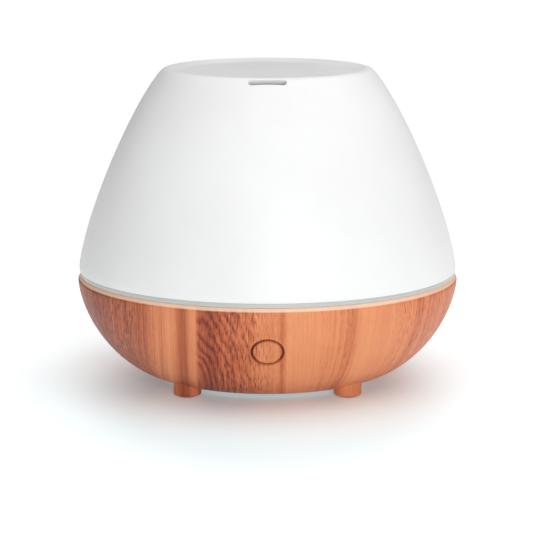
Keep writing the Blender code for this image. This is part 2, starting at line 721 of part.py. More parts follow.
bm = bmesh.new()
add_box(bm, -7.0, 3.0, -28.3, -25.0, 10.1, 15.9)
finish(bm, "power_transistor", "black", origin=(-2.0, -26.6, 10.1))
bm = bmesh.new()
add_box(bm, 1.5, 8.5, -21.5, -15.5, 10.1, 11.7)
finish(bm, "control_chip", "black", origin=(5.0, -18.5, 10.1))
bm = bmesh.new()
add_box(bm, -6.0, 5.0, -6.8, -3.4, 10.1, 15.1)
finish(bm, "board_connector", "white", origin=(-0.5, -5.0, 10.1))

# ---------------------------------------------------------------- fan

bm = bmesh.new()
half = FAN_W / 2
corner = 3.0
ring = []
for cx, cy, start in ((1, 1, 0), (-1, 1, 90), (-1, -1, 180), (1, -1, 270)):
    for k in range(5):
        a = math.radians(start + 90 * k / 4)
        ring.append((FAN_X + cx * (half - corner) + corner * math.cos(a), FAN_Y + cy * (half - corner) + corner * math.sin(a)))
add_rings(bm, [[(x, y, z) for x, y in ring] for z in (FAN_Z0, FAN_Z1)], False)
frame = finish(bm, "fan_frame", "black")


def fan_bore(bm):
    add_cyl(bm, FAN_BORE, FAN_Z0 - 1, FAN_Z1 + 1, (FAN_X, FAN_Y), 36)
    for sx in (-1, 1):
        for sy in (-1, 1):
            add_cyl(bm, 1.7, FAN_Z0 - 1, FAN_Z1 + 1, (FAN_X + sx * FAN_HOLE, FAN_Y + sy * FAN_HOLE), 12)


def fan_struts(bm):
    add_box(bm, FAN_X - 19.3, FAN_X + 19.3, FAN_Y - 1.0, FAN_Y + 1.0, FAN_Z0, FAN_Z0 + 1.4)
    add_box(bm, FAN_X - 1.0, FAN_X + 1.0, FAN_Y - 19.3, FAN_Y + 19.3, FAN_Z0 + 0.05, FAN_Z0 + 1.35)
    add_cyl(bm, 8.2, FAN_Z0 - 0.0, FAN_Z0 + 1.5, (FAN_X, FAN_Y), 24)


boolean(frame, "DIFFERENCE", fan_bore)
boolean(frame, "UNION", fan_struts)
for index, (dx, dy) in enumerate(FAN_SCREWS):
    screw("fan_screw_%d" % (index + 1), FAN_X + dx, FAN_Y + dy, 2.4, 6.7, 7.9, 1.2, 21.6)

bm = bmesh.new()
add_lathe(bm, [(0, 10.1), (8.3, 10.1), (8.3, 16.4), (7.7, 17.2), (0, 17.3)], 28, (FAN_X, FAN_Y))
rotor = finish(bm, "fan_rotor", "black", origin=(FAN_X, FAN_Y, 13.5))


def blades(bm):
    for k in range(BLADES):
        turn = Matrix.Translation((FAN_X, FAN_Y, 13.6)) @ Matrix.Rotation(2 * math.pi * k / BLADES, 4, "Z")
        sections = []
        for radius in (7.2, 10.5, 14.0, 17.7):
            pitch_angle = math.radians(52 - 2.0 * (radius - 7.2))
            chord = 3.9 + 0.14 * (radius - 7.2)
            c, s = math.cos(pitch_angle), math.sin(pitch_angle)
            t = 0.5
            sweep = 0.10 * (radius - 7.2)
            section = []
            for u, v in ((-chord, -t), (0, -t - 0.15), (chord, -t), (chord, t), (0, t - 0.15), (-chord, t)):
                y = u * c - v * s + sweep
                z = min(max(u * s + v * c, -3.3), 3.3)
                section.append((radius, y, z))
            sections.append(section)
        made = add_rings(bm, sections, False)
        bmesh.ops.transform(bm, matrix=turn, verts=made)


boolean(rotor, "UNION", blades)

# hopper that leads the fan's air into the tank's duct
bm = bmesh.new()


def stadium_reach(bearing, width, depth):
    """Distance from an oblong's centre to its edge in one direction."""
    rad, half = depth / 2, width / 2 - depth / 2
    c, s = abs(math.cos(bearing)), abs(math.sin(bearing))
    if s * half <= c * rad and c > 1e-9:
        # the ray leaves through the round end
        return half * c + math.sqrt(max(rad * rad - (half * s) ** 2, 0.0))
    return rad / s if rad * c / s <= half else half * c + math.sqrt(max(rad * rad - (half * s) ** 2, 0.0))


def hopper_ring(f, inset, n=28):
    pts = []
    for k in range(n):
        bearing = 2 * math.pi * k / n
        reach = 19.3 + (stadium_reach(bearing, AIR_W, AIR_D) - 19.3) * f - inset
        z = FAN_Z1 + 0.3 + (TANK_UNDER_Z - 0.3 - FAN_Z1 - 0.3) * f
        pts.append((FAN_X + reach * math.cos(bearing), FAN_Y + reach * math.sin(bearing), z))
    return pts


outer_h = [hopper_ring(f, 0.0) for f in (0.0, 0.35, 1.0)]
inner_h = [hopper_ring(f, 2.2) for f in (1.0, 0.35, 0.0)]
add_rings(bm, outer_h + inner_h, True)
finish(bm, "fan_duct", "white")

# ---------------------------------------------------------------- button

bm = bmesh.new()
add_lathe(bm, [(0, 0.0), (3.4, -0.07), (BUTTON_R - 0.8, -0.2), (BUTTON_R - 0.25, -0.36), (BUTTON_R, -0.8), (BUTTON_R, -3.5),
               (7.6, -3.5), (7.6, -4.5), (2.0, -4.5), (2.0, -6.9), (0, -6.9)], 32, (0, 0), BUTTON_FRAME)
finish(bm, "button_cap", "wood", origin=tuple(BUTTON_AT))
bm = bmesh.new()
add_lathe(bm, [(0, -7.2), (1.3, -7.2), (1.6, -7.5), (1.6, -9.2), (0, -9.2)], 16, (0, 0), BUTTON_FRAME)
finish(bm, "switch_plunger", "black", origin=tuple(BUTTON_AT))
bm = bmesh.new()
add_box(bm, -3.0, 3.0, -3.0, 3.0, -10.3, -8.1, BUTTON_FRAME)
switch = finish(bm, "tact_switch", "steel")


def switch_hole(bm):
    add_cyl(bm, 1.9, -9.95, -7.0, (0, 0), 16, BUTTON_FRAME)


boolean(switch, "DIFFERENCE", switch_hole)
bm = bmesh.new()
add_box(bm, -8.0, 8.0, -7.0, 7.0, -11.8, -10.6, BUTTON_FRAME)
finish(bm, "button_board", "board")
bm = bmesh.new()
add_lathe(bm, [(8.1, -4.0), (9.5, -4.0), (9.5, -10.3), (8.1, -10.3)], 32, (0, 0), BUTTON_FRAME)
finish(bm, "button_guide", "white")

# ---------------------------------------------------------------- power jack

bm = bmesh.new()
add_box(bm, -4.5, 4.5, 66.9, 72.3, JACK_Z - 4.5, JACK_Z + 4.5)
jack = finish(bm, "dc_jack", "black")


def jack_nose(bm):
    add_cyl(bm, JACK_HOLE_R - 0.35, 71.8, 75.2, (0, 0), 24, JACK_FRAME)


def jack_socket(bm):
    add_lathe(bm, [(1.0, 67.9), (3.1, 67.9), (3.1, 77.0), (1.0, 77.0)], 24, (0, 0), JACK_FRAME)


def jack_pin_end(bm):
    add_cyl(bm, 2.0, 74.3, 78.0, (0, 0), 24, JACK_FRAME)


boolean(jack, "UNION", jack_nose)
boolean(jack, "DIFFERENCE", jack_socket)
boolean(jack, "DIFFERENCE", jack_pin_end)

# ---------------------------------------------------------------- leads

lead("lead_power", [(-3.0, 65.6, 24.0), (-9.0, 62.0, 17.5), (-19.0, 54.5, 13.0), (-23.3, 44.0, 11.5), (-23.4, 28.0, 11.5),
                    (-23.2, 12.0, 12.0), (-19.0, 4.6, 12.4), (-9.0, 3.4, 12.6), (-4.4, 1.0, 12.6), (-4.0, -3.0, 12.6)], 0.9)
lead("lead_fan", [(9.0, 7.6, 13.0), (8.6, 4.0, 13.0), (4.0, 1.6, 12.8), (2.6, 0.0, 12.6), (2.6, -3.0, 12.6)], 0.8)
lead("lead_transducer", [(1.5, -14.0, 19.2), (1.5, -14.0, 16.0), (2.2, -13.4, 13.0), (2.6, -12.6, 10.2)], 0.6)
lead("lead_led", [(-23.9, -22.7, 18.0), (-23.4, -22.5, 15.0), (-22.4, -22.0, 12.6), (-22.0, -21.8, 10.2)], 0.6)
lead("lead_button", [(-4.0, -64.9, 25.2), (-6.5, -60.5, 17.0), (-12.5, -49.0, 12.6), (-16.0, -38.0, 13.0), (-16.0, -32.6, 12.6), (-16.0, -30.8, 10.2)], 0.6)
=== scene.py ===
"""Looks for the essential oil diffuser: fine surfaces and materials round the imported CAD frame."""

import math

import bmesh
import bpy
from mathutils import Matrix, Vector


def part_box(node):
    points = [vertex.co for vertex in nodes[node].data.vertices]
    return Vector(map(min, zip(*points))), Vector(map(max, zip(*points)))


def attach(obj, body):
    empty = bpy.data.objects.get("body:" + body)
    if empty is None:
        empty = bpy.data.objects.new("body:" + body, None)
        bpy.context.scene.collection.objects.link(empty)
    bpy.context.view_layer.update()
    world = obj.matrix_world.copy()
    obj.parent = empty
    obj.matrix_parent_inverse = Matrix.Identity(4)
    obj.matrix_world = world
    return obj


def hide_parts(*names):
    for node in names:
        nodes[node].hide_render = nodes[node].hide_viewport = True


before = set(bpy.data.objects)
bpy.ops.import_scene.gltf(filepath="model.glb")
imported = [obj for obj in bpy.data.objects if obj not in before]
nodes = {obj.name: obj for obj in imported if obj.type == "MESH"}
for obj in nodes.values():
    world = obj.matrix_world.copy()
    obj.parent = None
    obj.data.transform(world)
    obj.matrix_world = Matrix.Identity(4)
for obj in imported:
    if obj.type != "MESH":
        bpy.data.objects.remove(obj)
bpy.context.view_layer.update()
MM = 0.001


def node_box(name):
    """Lowest and highest corner of a CAD node in millimetres."""
    low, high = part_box(name)
    return low / MM, high / MM


# ------------------------------------------------------------------ sizes, from the frame

shell_low, shell_high = node_box("wood_shell")
dome_low, dome_high = node_box("dome_cover")
tank_low, tank_high = node_box("water_tank")
duct_low, duct_high = node_box("air_duct")
chimney_low, chimney_high = node_box("mist_chimney")
cover_low, cover_high = node_box("inner_cover")
bottom_low, bottom_high = node_box("bottom_cover")
fan_low, fan_high = node_box("fan_frame")
clamp_low, clamp_high = node_box("transducer_clamp")
jack_low, jack_high = node_box("dc_jack")

SHELL_R = shell_high.x
SHELL_TOP_Z = shell_high.z
RIM_Z = SHELL_TOP_Z - 2.1
SHELL_TOP_R = SHELL_R - 1.3
SHELL_LOW_Z, SHELL_FLAT_R = 2.2, 43.6
BOWL_P, BOWL_Q = 1.61, 0.532
SHELL_T = 2.4
BOTTOM_R = bottom_high.x
COVER_OPENING_R = BOTTOM_R + 0.3
LEDGE_R, LEDGE_Z0, LEDGE_Z1 = 38.5, 4.6, 6.4

DOME_Z0, DOME_TOP_Z = dome_low.z, dome_high.z
DOME_EDGE_R = 83.47
DOME_CORNER_R, DOME_FILLET = 45.6, 4.75
DOME_LEAN = math.radians(40.7)
DOME_H1, DOME_H2 = 20.5, 21.8
DOME_T = 2.2
DISH_R, DISH_DEPTH = 38.0, 1.2
SLOT_W, SLOT_H, SLOT_R, SLOT_Z = 16.0, 2.9, 46.7, 136.5

FLANGE_Z0, FLANGE_Z1 = 47.5, 49.2
FLANGE_R = tank_high.x
LIP_R0, LIP_R1, LIP_Z = 78.6, 80.3, 52.2
TANK_MOUTH_R = 68.0
TANK_FLOOR_Z, TANK_UNDER_Z, TANK_FLOOR_R = 24.0, 22.0, 46.0
AIR_X, AIR_Y, AIR_W, AIR_D, AIR_WALL = 0.0, 28.0, 32.0, 15.0, 2.0
AIR_TOP_Z = duct_high.z
PILLAR_XY, PILLAR_R = 29.7, 3.0

TD_X, TD_Y = (clamp_low.x + clamp_high.x) / 2, (clamp_low.y + clamp_high.y) / 2
TD_SCREW_R, TD_ANGLES = 17.5, (90.0, 210.0, 330.0)
LED_R0, LED_R1, LED_Z0, LED_Z1 = 21.2, 29.5, 18.4, 19.6
LED_SCREWS = (186.0, 354.0)
LED_ANGLES = (165.0, 207.0, 249.0, 291.0, 333.0, 375.0)

FAN_X, FAN_Y = (fan_low.x + fan_high.x) / 2, (fan_low.y + fan_high.y) / 2
FAN_W = fan_high.x - fan_low.x
FAN_Z0, FAN_Z1 = fan_low.z, fan_high.z
FAN_BORE, FAN_HOLE = 18.8, 16.0
FAN_SCREWS = ((-16.0, -16.0), (16.0, 16.0))

BUTTON_Z, BUTTON_HOLE_R, BUTTON_R = 27.5, 6.85, 6.2
JACK_Z = (jack_low.z + jack_high.z) / 2
JACK_HOLE_R = 5.2
FOOT_R, FOOT_ANGLE, FOOT_HALF, PAD_R = 52.7, 41.0, 6.0, 4.3
BOTTOM_Z0, BOTTOM_Z1 = bottom_low.z, 4.3
BOARD_Z0, BOARD_Z1 = 8.2, 9.8
BOARD_HOLES = ((-20.0, -29.0), (20.0, -29.0), (-20.5, -6.0), (20.5, -6.0))

# ------------------------------------------------------------------ node-tree helper


class Nodes:
    """A material and short ways to add nodes to it. Inputs may be sockets or plain values."""

    def __init__(self, name):
        self.mat = bpy.data.materials.new(name)
        self.mat.use_nodes = True
        self.tree = self.mat.node_tree
        self.shader = self.tree.nodes["Principled BSDF"]
        self.coord = None

    def put(self, socket, value):
        if isinstance(value, bpy.types.NodeSocket):
            self.tree.links.new(value, socket)
        elif isinstance(value, (tuple, list)) and len(value) == 3 and len(socket.default_value) == 4:
            socket.default_value = (*value, 1.0)
        else:
            socket.default_value = value

    def math(self, operation, a, b=0.0, c=None, clamp=False):
        n = self.tree.nodes.new("ShaderNodeMath")
        n.operation = operation
        n.use_clamp = clamp
        self.put(n.inputs[0], a)
        self.put(n.inputs[1], b)
        if c is not None:
            self.put(n.inputs[2], c)
        return n.outputs[0]

    def place(self):
        if self.coord is None:
            self.coord = self.tree.nodes.new("ShaderNodeTexCoord").outputs["Object"]
        return self.coord

    def split(self, vector):
        n = self.tree.nodes.new("ShaderNodeSeparateXYZ")
        self.put(n.inputs[0], vector)
        return n.outputs

    def join(self, x, y, z):
        n = self.tree.nodes.new("ShaderNodeCombineXYZ")
        for s, v in zip(n.inputs, (x, y, z)):
            self.put(s, v)
        return n.outputs[0]

    def noise(self, vector, scale, detail=2.0, roughness=0.5, distortion=0.0):
        n = self.tree.nodes.new("ShaderNodeTexNoise")
        self.put(n.inputs["Vector"], vector)
        self.put(n.inputs["Scale"], scale)
        self.put(n.inputs["Detail"], detail)
        self.put(n.inputs["Roughness"], roughness)
        self.put(n.inputs["Distortion"], distortion)
        return n.outputs["Fac"]

    def voronoi(self, vector, scale, feature="F1"):
        n = self.tree.nodes.new("ShaderNodeTexVoronoi")
        n.feature = feature
        self.put(n.inputs["Vector"], vector)
        self.put(n.inputs["Scale"], scale)
        return n.outputs["Distance"]

    def ramp(self, value, stops, smooth=False):
        n = self.tree.nodes.new("ShaderNodeValToRGB")
        n.color_ramp.interpolation = "EASE" if smooth else "LINEAR"
        e = n.color_ramp.elements
        while len(e) > 1:
            e.remove(e[-1])
        for k, (at, colour) in enumerate(stops):
            item = e[0] if k == 0 else e.new(at)
            item.position = at
            item.color = (colour, colour, colour, 1.0) if not isinstance(colour, tuple) else (*colour, 1.0)
        self.put(n.inputs[0], value)
        return n.outputs["Color"]

    def span(self, value, a, b, c=0.0, d=1.0):
        n = self.tree.nodes.new("ShaderNodeMapRange")
        n.interpolation_type = "SMOOTHSTEP"
        for s, v in zip(n.inputs, (value, a, b, c, d)):
            self.put(s, v)
        return n.outputs[0]

    def mix(self, factor, a, b, blend="MIX"):
        n = self.tree.nodes.new("ShaderNodeMix")
        n.data_type = "RGBA"
        n.blend_type = blend
        self.put(n.inputs[0], factor)
        self.put(n.inputs[6], a)
        self.put(n.inputs[7], b)
        return n.outputs[2]

    def bump(self, height, strength, distance):
        n = self.tree.nodes.new("ShaderNodeBump")
        self.put(n.inputs["Strength"], strength)
        self.put(n.inputs["Distance"], distance)
        self.put(n.inputs["Height"], height)
        self.tree.links.new(n.outputs[0], self.shader.inputs["Normal"])

    def set(self, **values):
        for key, value in values.items():
            self.put(self.shader.inputs[key.replace("_", " ")], value)
        return self.mat


def srgb(r, g, b):
    """Linear colour of an 8-bit display colour."""
    out = []
    for v in (r, g, b):
        v /= 255
        out.append(v / 12.92 if v <= 0.04045 else ((v + 0.055) / 1.055) ** 2.4)
    return tuple(out)


# ------------------------------------------------------------------ materials

def plastic(name, colour, roughness=0.4, speck=0.03, grain=900.0, bump=0.05, subsurface=0.0, radius=0.003, coat=0.0):
    """Moulded plastic: faint cloudiness, a fine moulded texture and slightly uneven gloss."""
    n = Nodes(name)
    cloud = n.noise(n.place(), 28.0, 3.0, 0.55)
    fine = n.noise(n.place(), grain, 2.0, 0.6)
    dark = tuple(c * (1 - speck * 2.2) for c in colour)
    light = tuple(min(1.0, c * (1 + speck)) for c in colour)
    shade = n.mix(n.span(cloud, 0.3, 0.7), dark, light)
    n.bump(fine, bump, 0.0002)
    n.set(Base_Color=shade, Roughness=n.span(n.noise(n.place(), 60.0, 3.0), 0.25, 0.75, roughness - 0.05, roughness + 0.06))
    if subsurface:
        n.set(Subsurface_Weight=subsurface, Subsurface_Scale=radius, Subsurface_Radius=(1.0, 0.95, 0.9))
    if coat:
        n.set(Coat_Weight=coat, Coat_Roughness=0.12)
    return n.mat


def metal(name, colour, roughness=0.3, stretch=(1.0, 1.0, 14.0), scale=220.0):
    """Plated or machined metal with fine drawn marks and a few dull patches."""
    n = Nodes(name)
    x, y, z = n.split(n.place())
    vec = n.join(n.math("MULTIPLY", x, stretch[0]), n.math("MULTIPLY", y, stretch[1]), n.math("MULTIPLY", z, stretch[2]))
    marks = n.noise(vec, scale, 3.0, 0.65)
    patch = n.noise(n.place(), 90.0, 2.0)
    tone = n.mix(n.span(patch, 0.35, 0.7), tuple(c * 0.86 for c in colour), colour)
    n.bump(marks, 0.12, 0.0001)
    n.set(Base_Color=tone, Metallic=1.0, Roughness=n.span(marks, 0.2, 0.8, roughness - 0.08, roughness + 0.12))
    return n.mat


def rubber(name, colour=(0.028, 0.028, 0.030)):
    n = Nodes(name)
    grain = n.noise(n.place(), 1600.0, 2.0, 0.7)
    dust = n.noise(n.place(), 120.0, 4.0, 0.6)
    tone = n.mix(n.span(dust, 0.52, 0.80, 0.0, 0.5), colour, (0.11, 0.105, 0.10))
    n.bump(grain, 0.25, 0.0002)
    n.set(Base_Color=tone, Roughness=n.span(dust, 0.3, 0.7, 0.72, 0.88))
    return n.mat


def board_green(name):
    """Solder mask over copper: darker mask with raised tracks and tiny pads."""
    n = Nodes(name)
    x, y, z = n.split(n.place())
    cells = n.voronoi(n.join(n.math("MULTIPLY", x, 1.0), n.math("MULTIPLY", y, 1.0), 0.0), 420.0)
    brick = n.tree.nodes.new("ShaderNodeTexBrick")
    n.put(brick.inputs["Vector"], n.place())
    brick.inputs["Scale"].default_value = 130.0
    brick.inputs["Mortar Size"].default_value = 0.055
    brick.inputs["Mortar Smooth"].default_value = 0.2
    brick.inputs["Color1"].default_value = (0.0, 0.0, 0.0, 1)
    brick.inputs["Color2"].default_value = (0.0, 0.0, 0.0, 1)
    brick.inputs["Mortar"].default_value = (1.0, 1.0, 1.0, 1)
    tracks = brick.outputs["Color"]
    base = n.mix(n.span(n.noise(n.place(), 70.0, 2.0), 0.3, 0.7), srgb(18, 78, 44), srgb(24, 92, 52))
    with_tracks = n.mix(tracks, base, srgb(46, 128, 74))
    pads = n.span(cells, 0.10, 0.13, 1.0, 0.0)
    colour = n.mix(pads, with_tracks, srgb(196, 190, 170))
    n.bump(tracks, 0.3, 0.0001)
    n.set(Base_Color=colour, Roughness=n.span(tracks, 0.0, 1.0, 0.34, 0.26), Coat_Weight=0.3)
    return n.mat


def turned_plastic(name, colour, roughness, edge=None):
    """White moulding with faint flow lines round the axis. Its outer edge may take a darker grey: painted shade for the
    band that lies in the dome's shadow.
    """
    n = Nodes(name)
    x, y, z = n.split(n.place())
    flow = n.noise(n.join(n.math("MULTIPLY", x, 0.25), n.math("MULTIPLY", y, 0.25), n.math("MULTIPLY", z, 3.0)), 55.0, 3.0, 0.6)
    fine = n.noise(n.place(), 1100.0, 2.0, 0.6)
    shade = n.mix(n.span(flow, 0.3, 0.7), tuple(c * 0.955 for c in colour), colour)
    # painted shade: beyond r 81.2 mm the outer band takes the darker edge colour, standing in for the dome's shadow on
    # it
    if edge:
        r = n.math("SQRT", n.math("ADD", n.math("MULTIPLY", x, x), n.math("MULTIPLY", y, y)))
        shade = n.mix(n.span(r, 0.0812, 0.0822), shade, n.mix(n.span(flow, 0.3, 0.7), tuple(c * 0.96 for c in edge), edge))
    n.bump(fine, 0.05, 0.0002)
    n.set(Base_Color=shade, Roughness=n.span(flow, 0.25, 0.75, roughness - 0.04, roughness + 0.05),
          Subsurface_Weight=0.15, Subsurface_Scale=0.002, Subsurface_Radius=(1.0, 0.97, 0.92))
    return n.mat


def frosted(name):
    """Sand-blasted translucent cover: soft, milky, with a barely visible mottle and fine frosting."""
    n = Nodes(name)
    mottle = n.noise(n.place(), 18.0, 4.0, 0.55)
    fine = n.noise(n.place(), 1500.0, 2.0, 0.7)
    body = n.mix(n.span(mottle, 0.3, 0.7), (0.865, 0.868, 0.858), (0.905, 0.905, 0.90))
    n.bump(n.math("ADD", fine, n.math("MULTIPLY", mottle, 0.4)), 0.06, 0.0002)
    n.set(Base_Color=body, Roughness=n.span(mottle, 0.25, 0.75, 0.40, 0.50),
          Subsurface_Weight=0.35, Subsurface_Scale=0.004, Subsurface_Radius=(1.0, 0.96, 0.92), Specular_IOR_Level=0.42)
    return n.mat


def wood_print():
    """Satin wood grain that runs up the bowl: straight stripes, nested arches, short dark flecks."""
    n = Nodes("wood_grain_fine")
    x, y, z = n.split(n.place())
    x, y, z = (n.math("MULTIPLY", v, 1000.0) for v in (x, y, z))
    # front and back keep the grain upright as on a flat board, the flanks let it follow the bowl
    ax, ay = n.math("ABSOLUTE", x), n.math("ABSOLUTE", y)
    wrapped = n.math("ARCTAN2", ax, ay)
    upright = n.math("ARCSINE", n.math("MINIMUM", n.math("DIVIDE", ax, SHELL_R), 1.0))
    follow = n.math("MAXIMUM", n.span(wrapped, math.radians(42), math.radians(90)), n.span(x, 6.0, 30.0, 0.0, 0.62))
    away = n.math("ADD", upright, n.math("MULTIPLY", n.math("SUBTRACT", wrapped, upright), follow))
    cx = n.math("MULTIPLY", n.math("MULTIPLY", n.math("SINE", away), n.math("SIGN", x)), SHELL_R)
    cy = n.math("MULTIPLY", n.math("MULTIPLY", n.math("COSINE", away), n.math("SIGN", y)), SHELL_R)
    theta = n.math("ARCTAN2", cx, n.math("MULTIPLY", cy, -1.0))
    turn = n.math("MULTIPLY_ADD", theta, 0.5 / math.pi, 0.5)      # 0.5 faces the button

    def spot(deg):
        return 0.5 + deg / 360.0

    def by_bearing(stops, ends):
        whole = [(0.0, ends)] + [(spot(d), v) for d, v in stops] + [(1.0, ends)]
        if len(whole) <= 30:
            return n.ramp(turn, whole)
        half = len(whole) // 2      # a ramp holds 32 stops, so a long one is two that meet
        first, second = n.ramp(turn, whole[:half + 1]), n.ramp(turn, whole[half:])
        return n.mix(n.math("GREATER_THAN", turn, whole[half][0]), first, second)

    def field(kx, kz, detail=2.0, rough=0.5, distortion=0.0, shift=0.0):
        vec = n.join(n.math("MULTIPLY_ADD", cx, kx, shift), n.math("MULTIPLY", cy, kx), n.math("MULTIPLY", z, kz))
        return n.noise(vec, 1.0, detail, rough, distortion)

    # how dark the ground is, round the bowl
    tone = by_bearing([(-172, .35), (-150, .22), (-139, .30), (-137, .62), (-128, .55), (-118, .40), (-105, .50), (-91, .58), (-75.6, .66), (-59, .66),
                       (-48, .66), (-42.7, .62), (-37.5, .52), (-36.2, .32), (-33.6, .28), (-32.7, .34), (-30.7, .30), (-30.1, .10), (-27.7, .12),
                       (-27, .34), (-25.8, .22), (-25.3, .62), (-23.5, .58), (-23.1, .18), (-21.1, .14), (-20.4, .66), (-16.1, .74), (-12.6, .56),
                       (-8.7, .42), (-4.4, .34), (-1.7, .22), (3.7, .20), (4.3, .42), (5, .40), (5.6, .10), (11.8, .06), (15.7, .13), (20.9, .12),
                       (23.1, .22), (24.6, .44), (26.4, .40), (27.2, .08), (35.8, .06), (41.9, .18), (50.6, .30), (65.9, .26), (85.7, .22), (96, .30),
                       (97.5, .60), (103, .62), (104, .24), (116, .20), (118, .40), (131, .62), (146, .40), (147, .12), (160, .16), (170, .32)], .35)
    # where the nested arches, the flecks and the plain streaks show
    arch_on = by_bearing([(-170, 0), (-138, 0), (-137, .9), (-122, .6), (-110, 0), (-20.8, 0), (-20.3, 1.0), (-12.2, .85), (-3.5, .30), (1.7, 0), (96, 0), (118, 0),
                          (122, .7), (134, 1.0), (145, .7), (147, 0)], 0.0)
    fleck_on = by_bearing([(-165, .3), (-140, .2), (-120, .7), (-98, .9), (-45.3, 1.0), (-38.4, .35), (-33.1, .15), (-20.6, .1), (-19.2, .55), (-12.2, 1.0), (-3.9, .85),
                           (2.6, .25), (10.5, .10), (24.4, .30), (27.9, .10), (37.5, .15), (45.3, .55), (75.6, .6), (95, .3), (120, .5), (140, .7), (150, .1)], 0.25)
    streak_on = by_bearing([(-160, .5), (-120, .8), (-63.6, .55), (-41.9, .9), (-26.2, 1.0), (-20.9, .5), (-8.7, .5), (2.6, .8), (7.8, .35), (14, .9), (25.3, 1.0), (27.9, .25),
                            (36.6, .25), (52.3, .5), (88.4, .9), (118, .5), (150, .9)], 0.5)

    wide = field(0.16, 0.0035, 3.0, 0.55, shift=1.7)
    fine = field(0.95, 0.012, 3.0, 0.62, shift=4.1)
    hair = field(2.4, 0.035, 2.0, 0.6)
    dash = field(1.75, 0.30, 1.0, 0.5, shift=2.3)
    blot = field(0.045, 0.06, 3.0, 0.55, shift=7.0)

    # nested arches about a few knots low on the bowl
    arches = None
    for centre, base, width in ((-22.5, 10.0, 1.0), (133.0, 6.0, 0.8), (-138.0, 14.0, 1.0)):
        across = n.math("MULTIPLY", n.math("SUBTRACT", theta, math.radians(centre)), SHELL_R * width)
        up = n.math("MULTIPLY", n.math("SUBTRACT", z, base), 0.52)
        q = n.math("SQRT", n.math("ADD", n.math("MULTIPLY", across, across), n.math("MULTIPLY", up, up)))
        arches = q if arches is None else n.math("MINIMUM", arches, q)
    wander = n.math("MULTIPLY", n.math("SUBTRACT", field(0.10, 0.07, 2.0, 0.5, shift=9.0), 0.5), 13.0)
    ring = n.math("SINE", n.math("ADD", n.math("MULTIPLY", arches, 2.35), wander))
    ring = n.math("POWER", n.math("MULTIPLY_ADD", ring, 0.5, 0.5), 1.6)

    value = n.math("ADD", tone, n.math("MULTIPLY", n.math("SUBTRACT", wide, 0.5), 0.42))
    value = n.math("ADD", value, n.math("MULTIPLY", n.math("MULTIPLY", n.math("SUBTRACT", fine, 0.5), streak_on), 0.62))
    value = n.math("ADD", value, n.math("MULTIPLY", n.math("SUBTRACT", hair, 0.5), 0.30))
    value = n.math("ADD", value, n.math("MULTIPLY", n.math("MULTIPLY", n.math("SUBTRACT", ring, 0.42), arch_on), 0.27))
    value = n.math("ADD", value, n.math("MULTIPLY", n.math("SUBTRACT", blot, 0.5), 0.22))
    # painted shade: the ground is darkened towards the bottom of the bowl, from 15 mm down to 5 mm
    value = n.math("ADD", value, n.span(z, 15.0, 5.0, 0.0, 0.12))
    # flecks: short dark ticks, thicker along the arches, with a pale edge beside some
    line_up = n.math("ADD", dash, n.math("MULTIPLY", n.math("MULTIPLY", n.math("SUBTRACT", ring, 0.5), arch_on), 0.10))
    ticks = n.math("MULTIPLY", n.span(line_up, 0.56, 0.66), fleck_on)
    pale = n.math("MULTIPLY", n.span(line_up, 0.44, 0.34), fleck_on)
    value = n.math("ADD", value, n.math("MULTIPLY", ticks, 0.40))
    value = n.math("SUBTRACT", value, n.math("MULTIPLY", pale, 0.16), clamp=True)
    colour = n.ramp(value, [(0.0, srgb(238, 158, 114)), (0.16, srgb(229, 145, 102)), (0.34, srgb(210, 122, 82)),
                            (0.55, srgb(184, 97, 62)), (0.78, srgb(152, 71, 43)), (1.0, srgb(108, 46, 27))])
    # the figured strip is redder, and so is the right flank
    red = by_bearing([(-168, 0), (-139, 0), (-136, .6), (-115, .1), (-20.9, 0), (-20.2, .9), (-13.1, .65), (-3.5, .10), (3.5, 0), (38.4, .05), (50.6, .40), (69.5, .35),
                      (91, .05), (119, .1), (132, .6), (146, .3), (148, 0)], 0.0)
    tinted = n.mix(red, colour, n.mix(1.0, colour, (0.98, 0.80, 0.86), "MULTIPLY"))
    # painted highlight: the bevelled rim at the top is painted a pale peach, standing in for the light it catches
    rim_highlight = n.span(z, RIM_Z + 0.30, RIM_Z + 1.0, 0.0, 0.80)
    tinted = n.mix(1.0, tinted, (0.92, 0.885, 0.78), "MULTIPLY")
    # painted shade: the film is darkened in a ring round the button hole, most on the upper left, standing in for the
    # shadow in the groove
    rise = n.math("DIVIDE", n.math("SUBTRACT", z, BUTTON_Z), 0.883)
    ringed = n.math("SQRT", n.math("ADD", n.math("MULTIPLY", x, x), n.math("MULTIPLY", rise, rise)))
    groove_shade = n.math("MULTIPLY", n.span(ringed, 5.5, 6.3), n.span(ringed, 6.75, 7.6, 1.0, 0.0))
    groove_shade = n.math("MULTIPLY", groove_shade, n.span(y, -50.0, -45.0, 1.0, 0.0))
    groove_shade = n.math("MULTIPLY", groove_shade, n.span(n.math("SUBTRACT", rise, x), -8.0, 8.0, 0.26, 0.66))
    tinted = n.mix(groove_shade, tinted, srgb(128, 62, 38))
    # mixes in the painted highlight on the bevelled rim
    final = n.mix(rim_highlight, tinted, srgb(252, 216, 190))
    height = n.math("SUBTRACT", n.math("MULTIPLY_ADD", fine, 0.6, n.math("MULTIPLY", hair, 0.4)), n.math("MULTIPLY", ticks, 0.7))
    n.bump(height, 0.16, 0.0003)
    n.set(Base_Color=final, Roughness=n.span(fine, 0.25, 0.75, 0.40, 0.54), Specular_IOR_Level=0.40)
    return n.mat


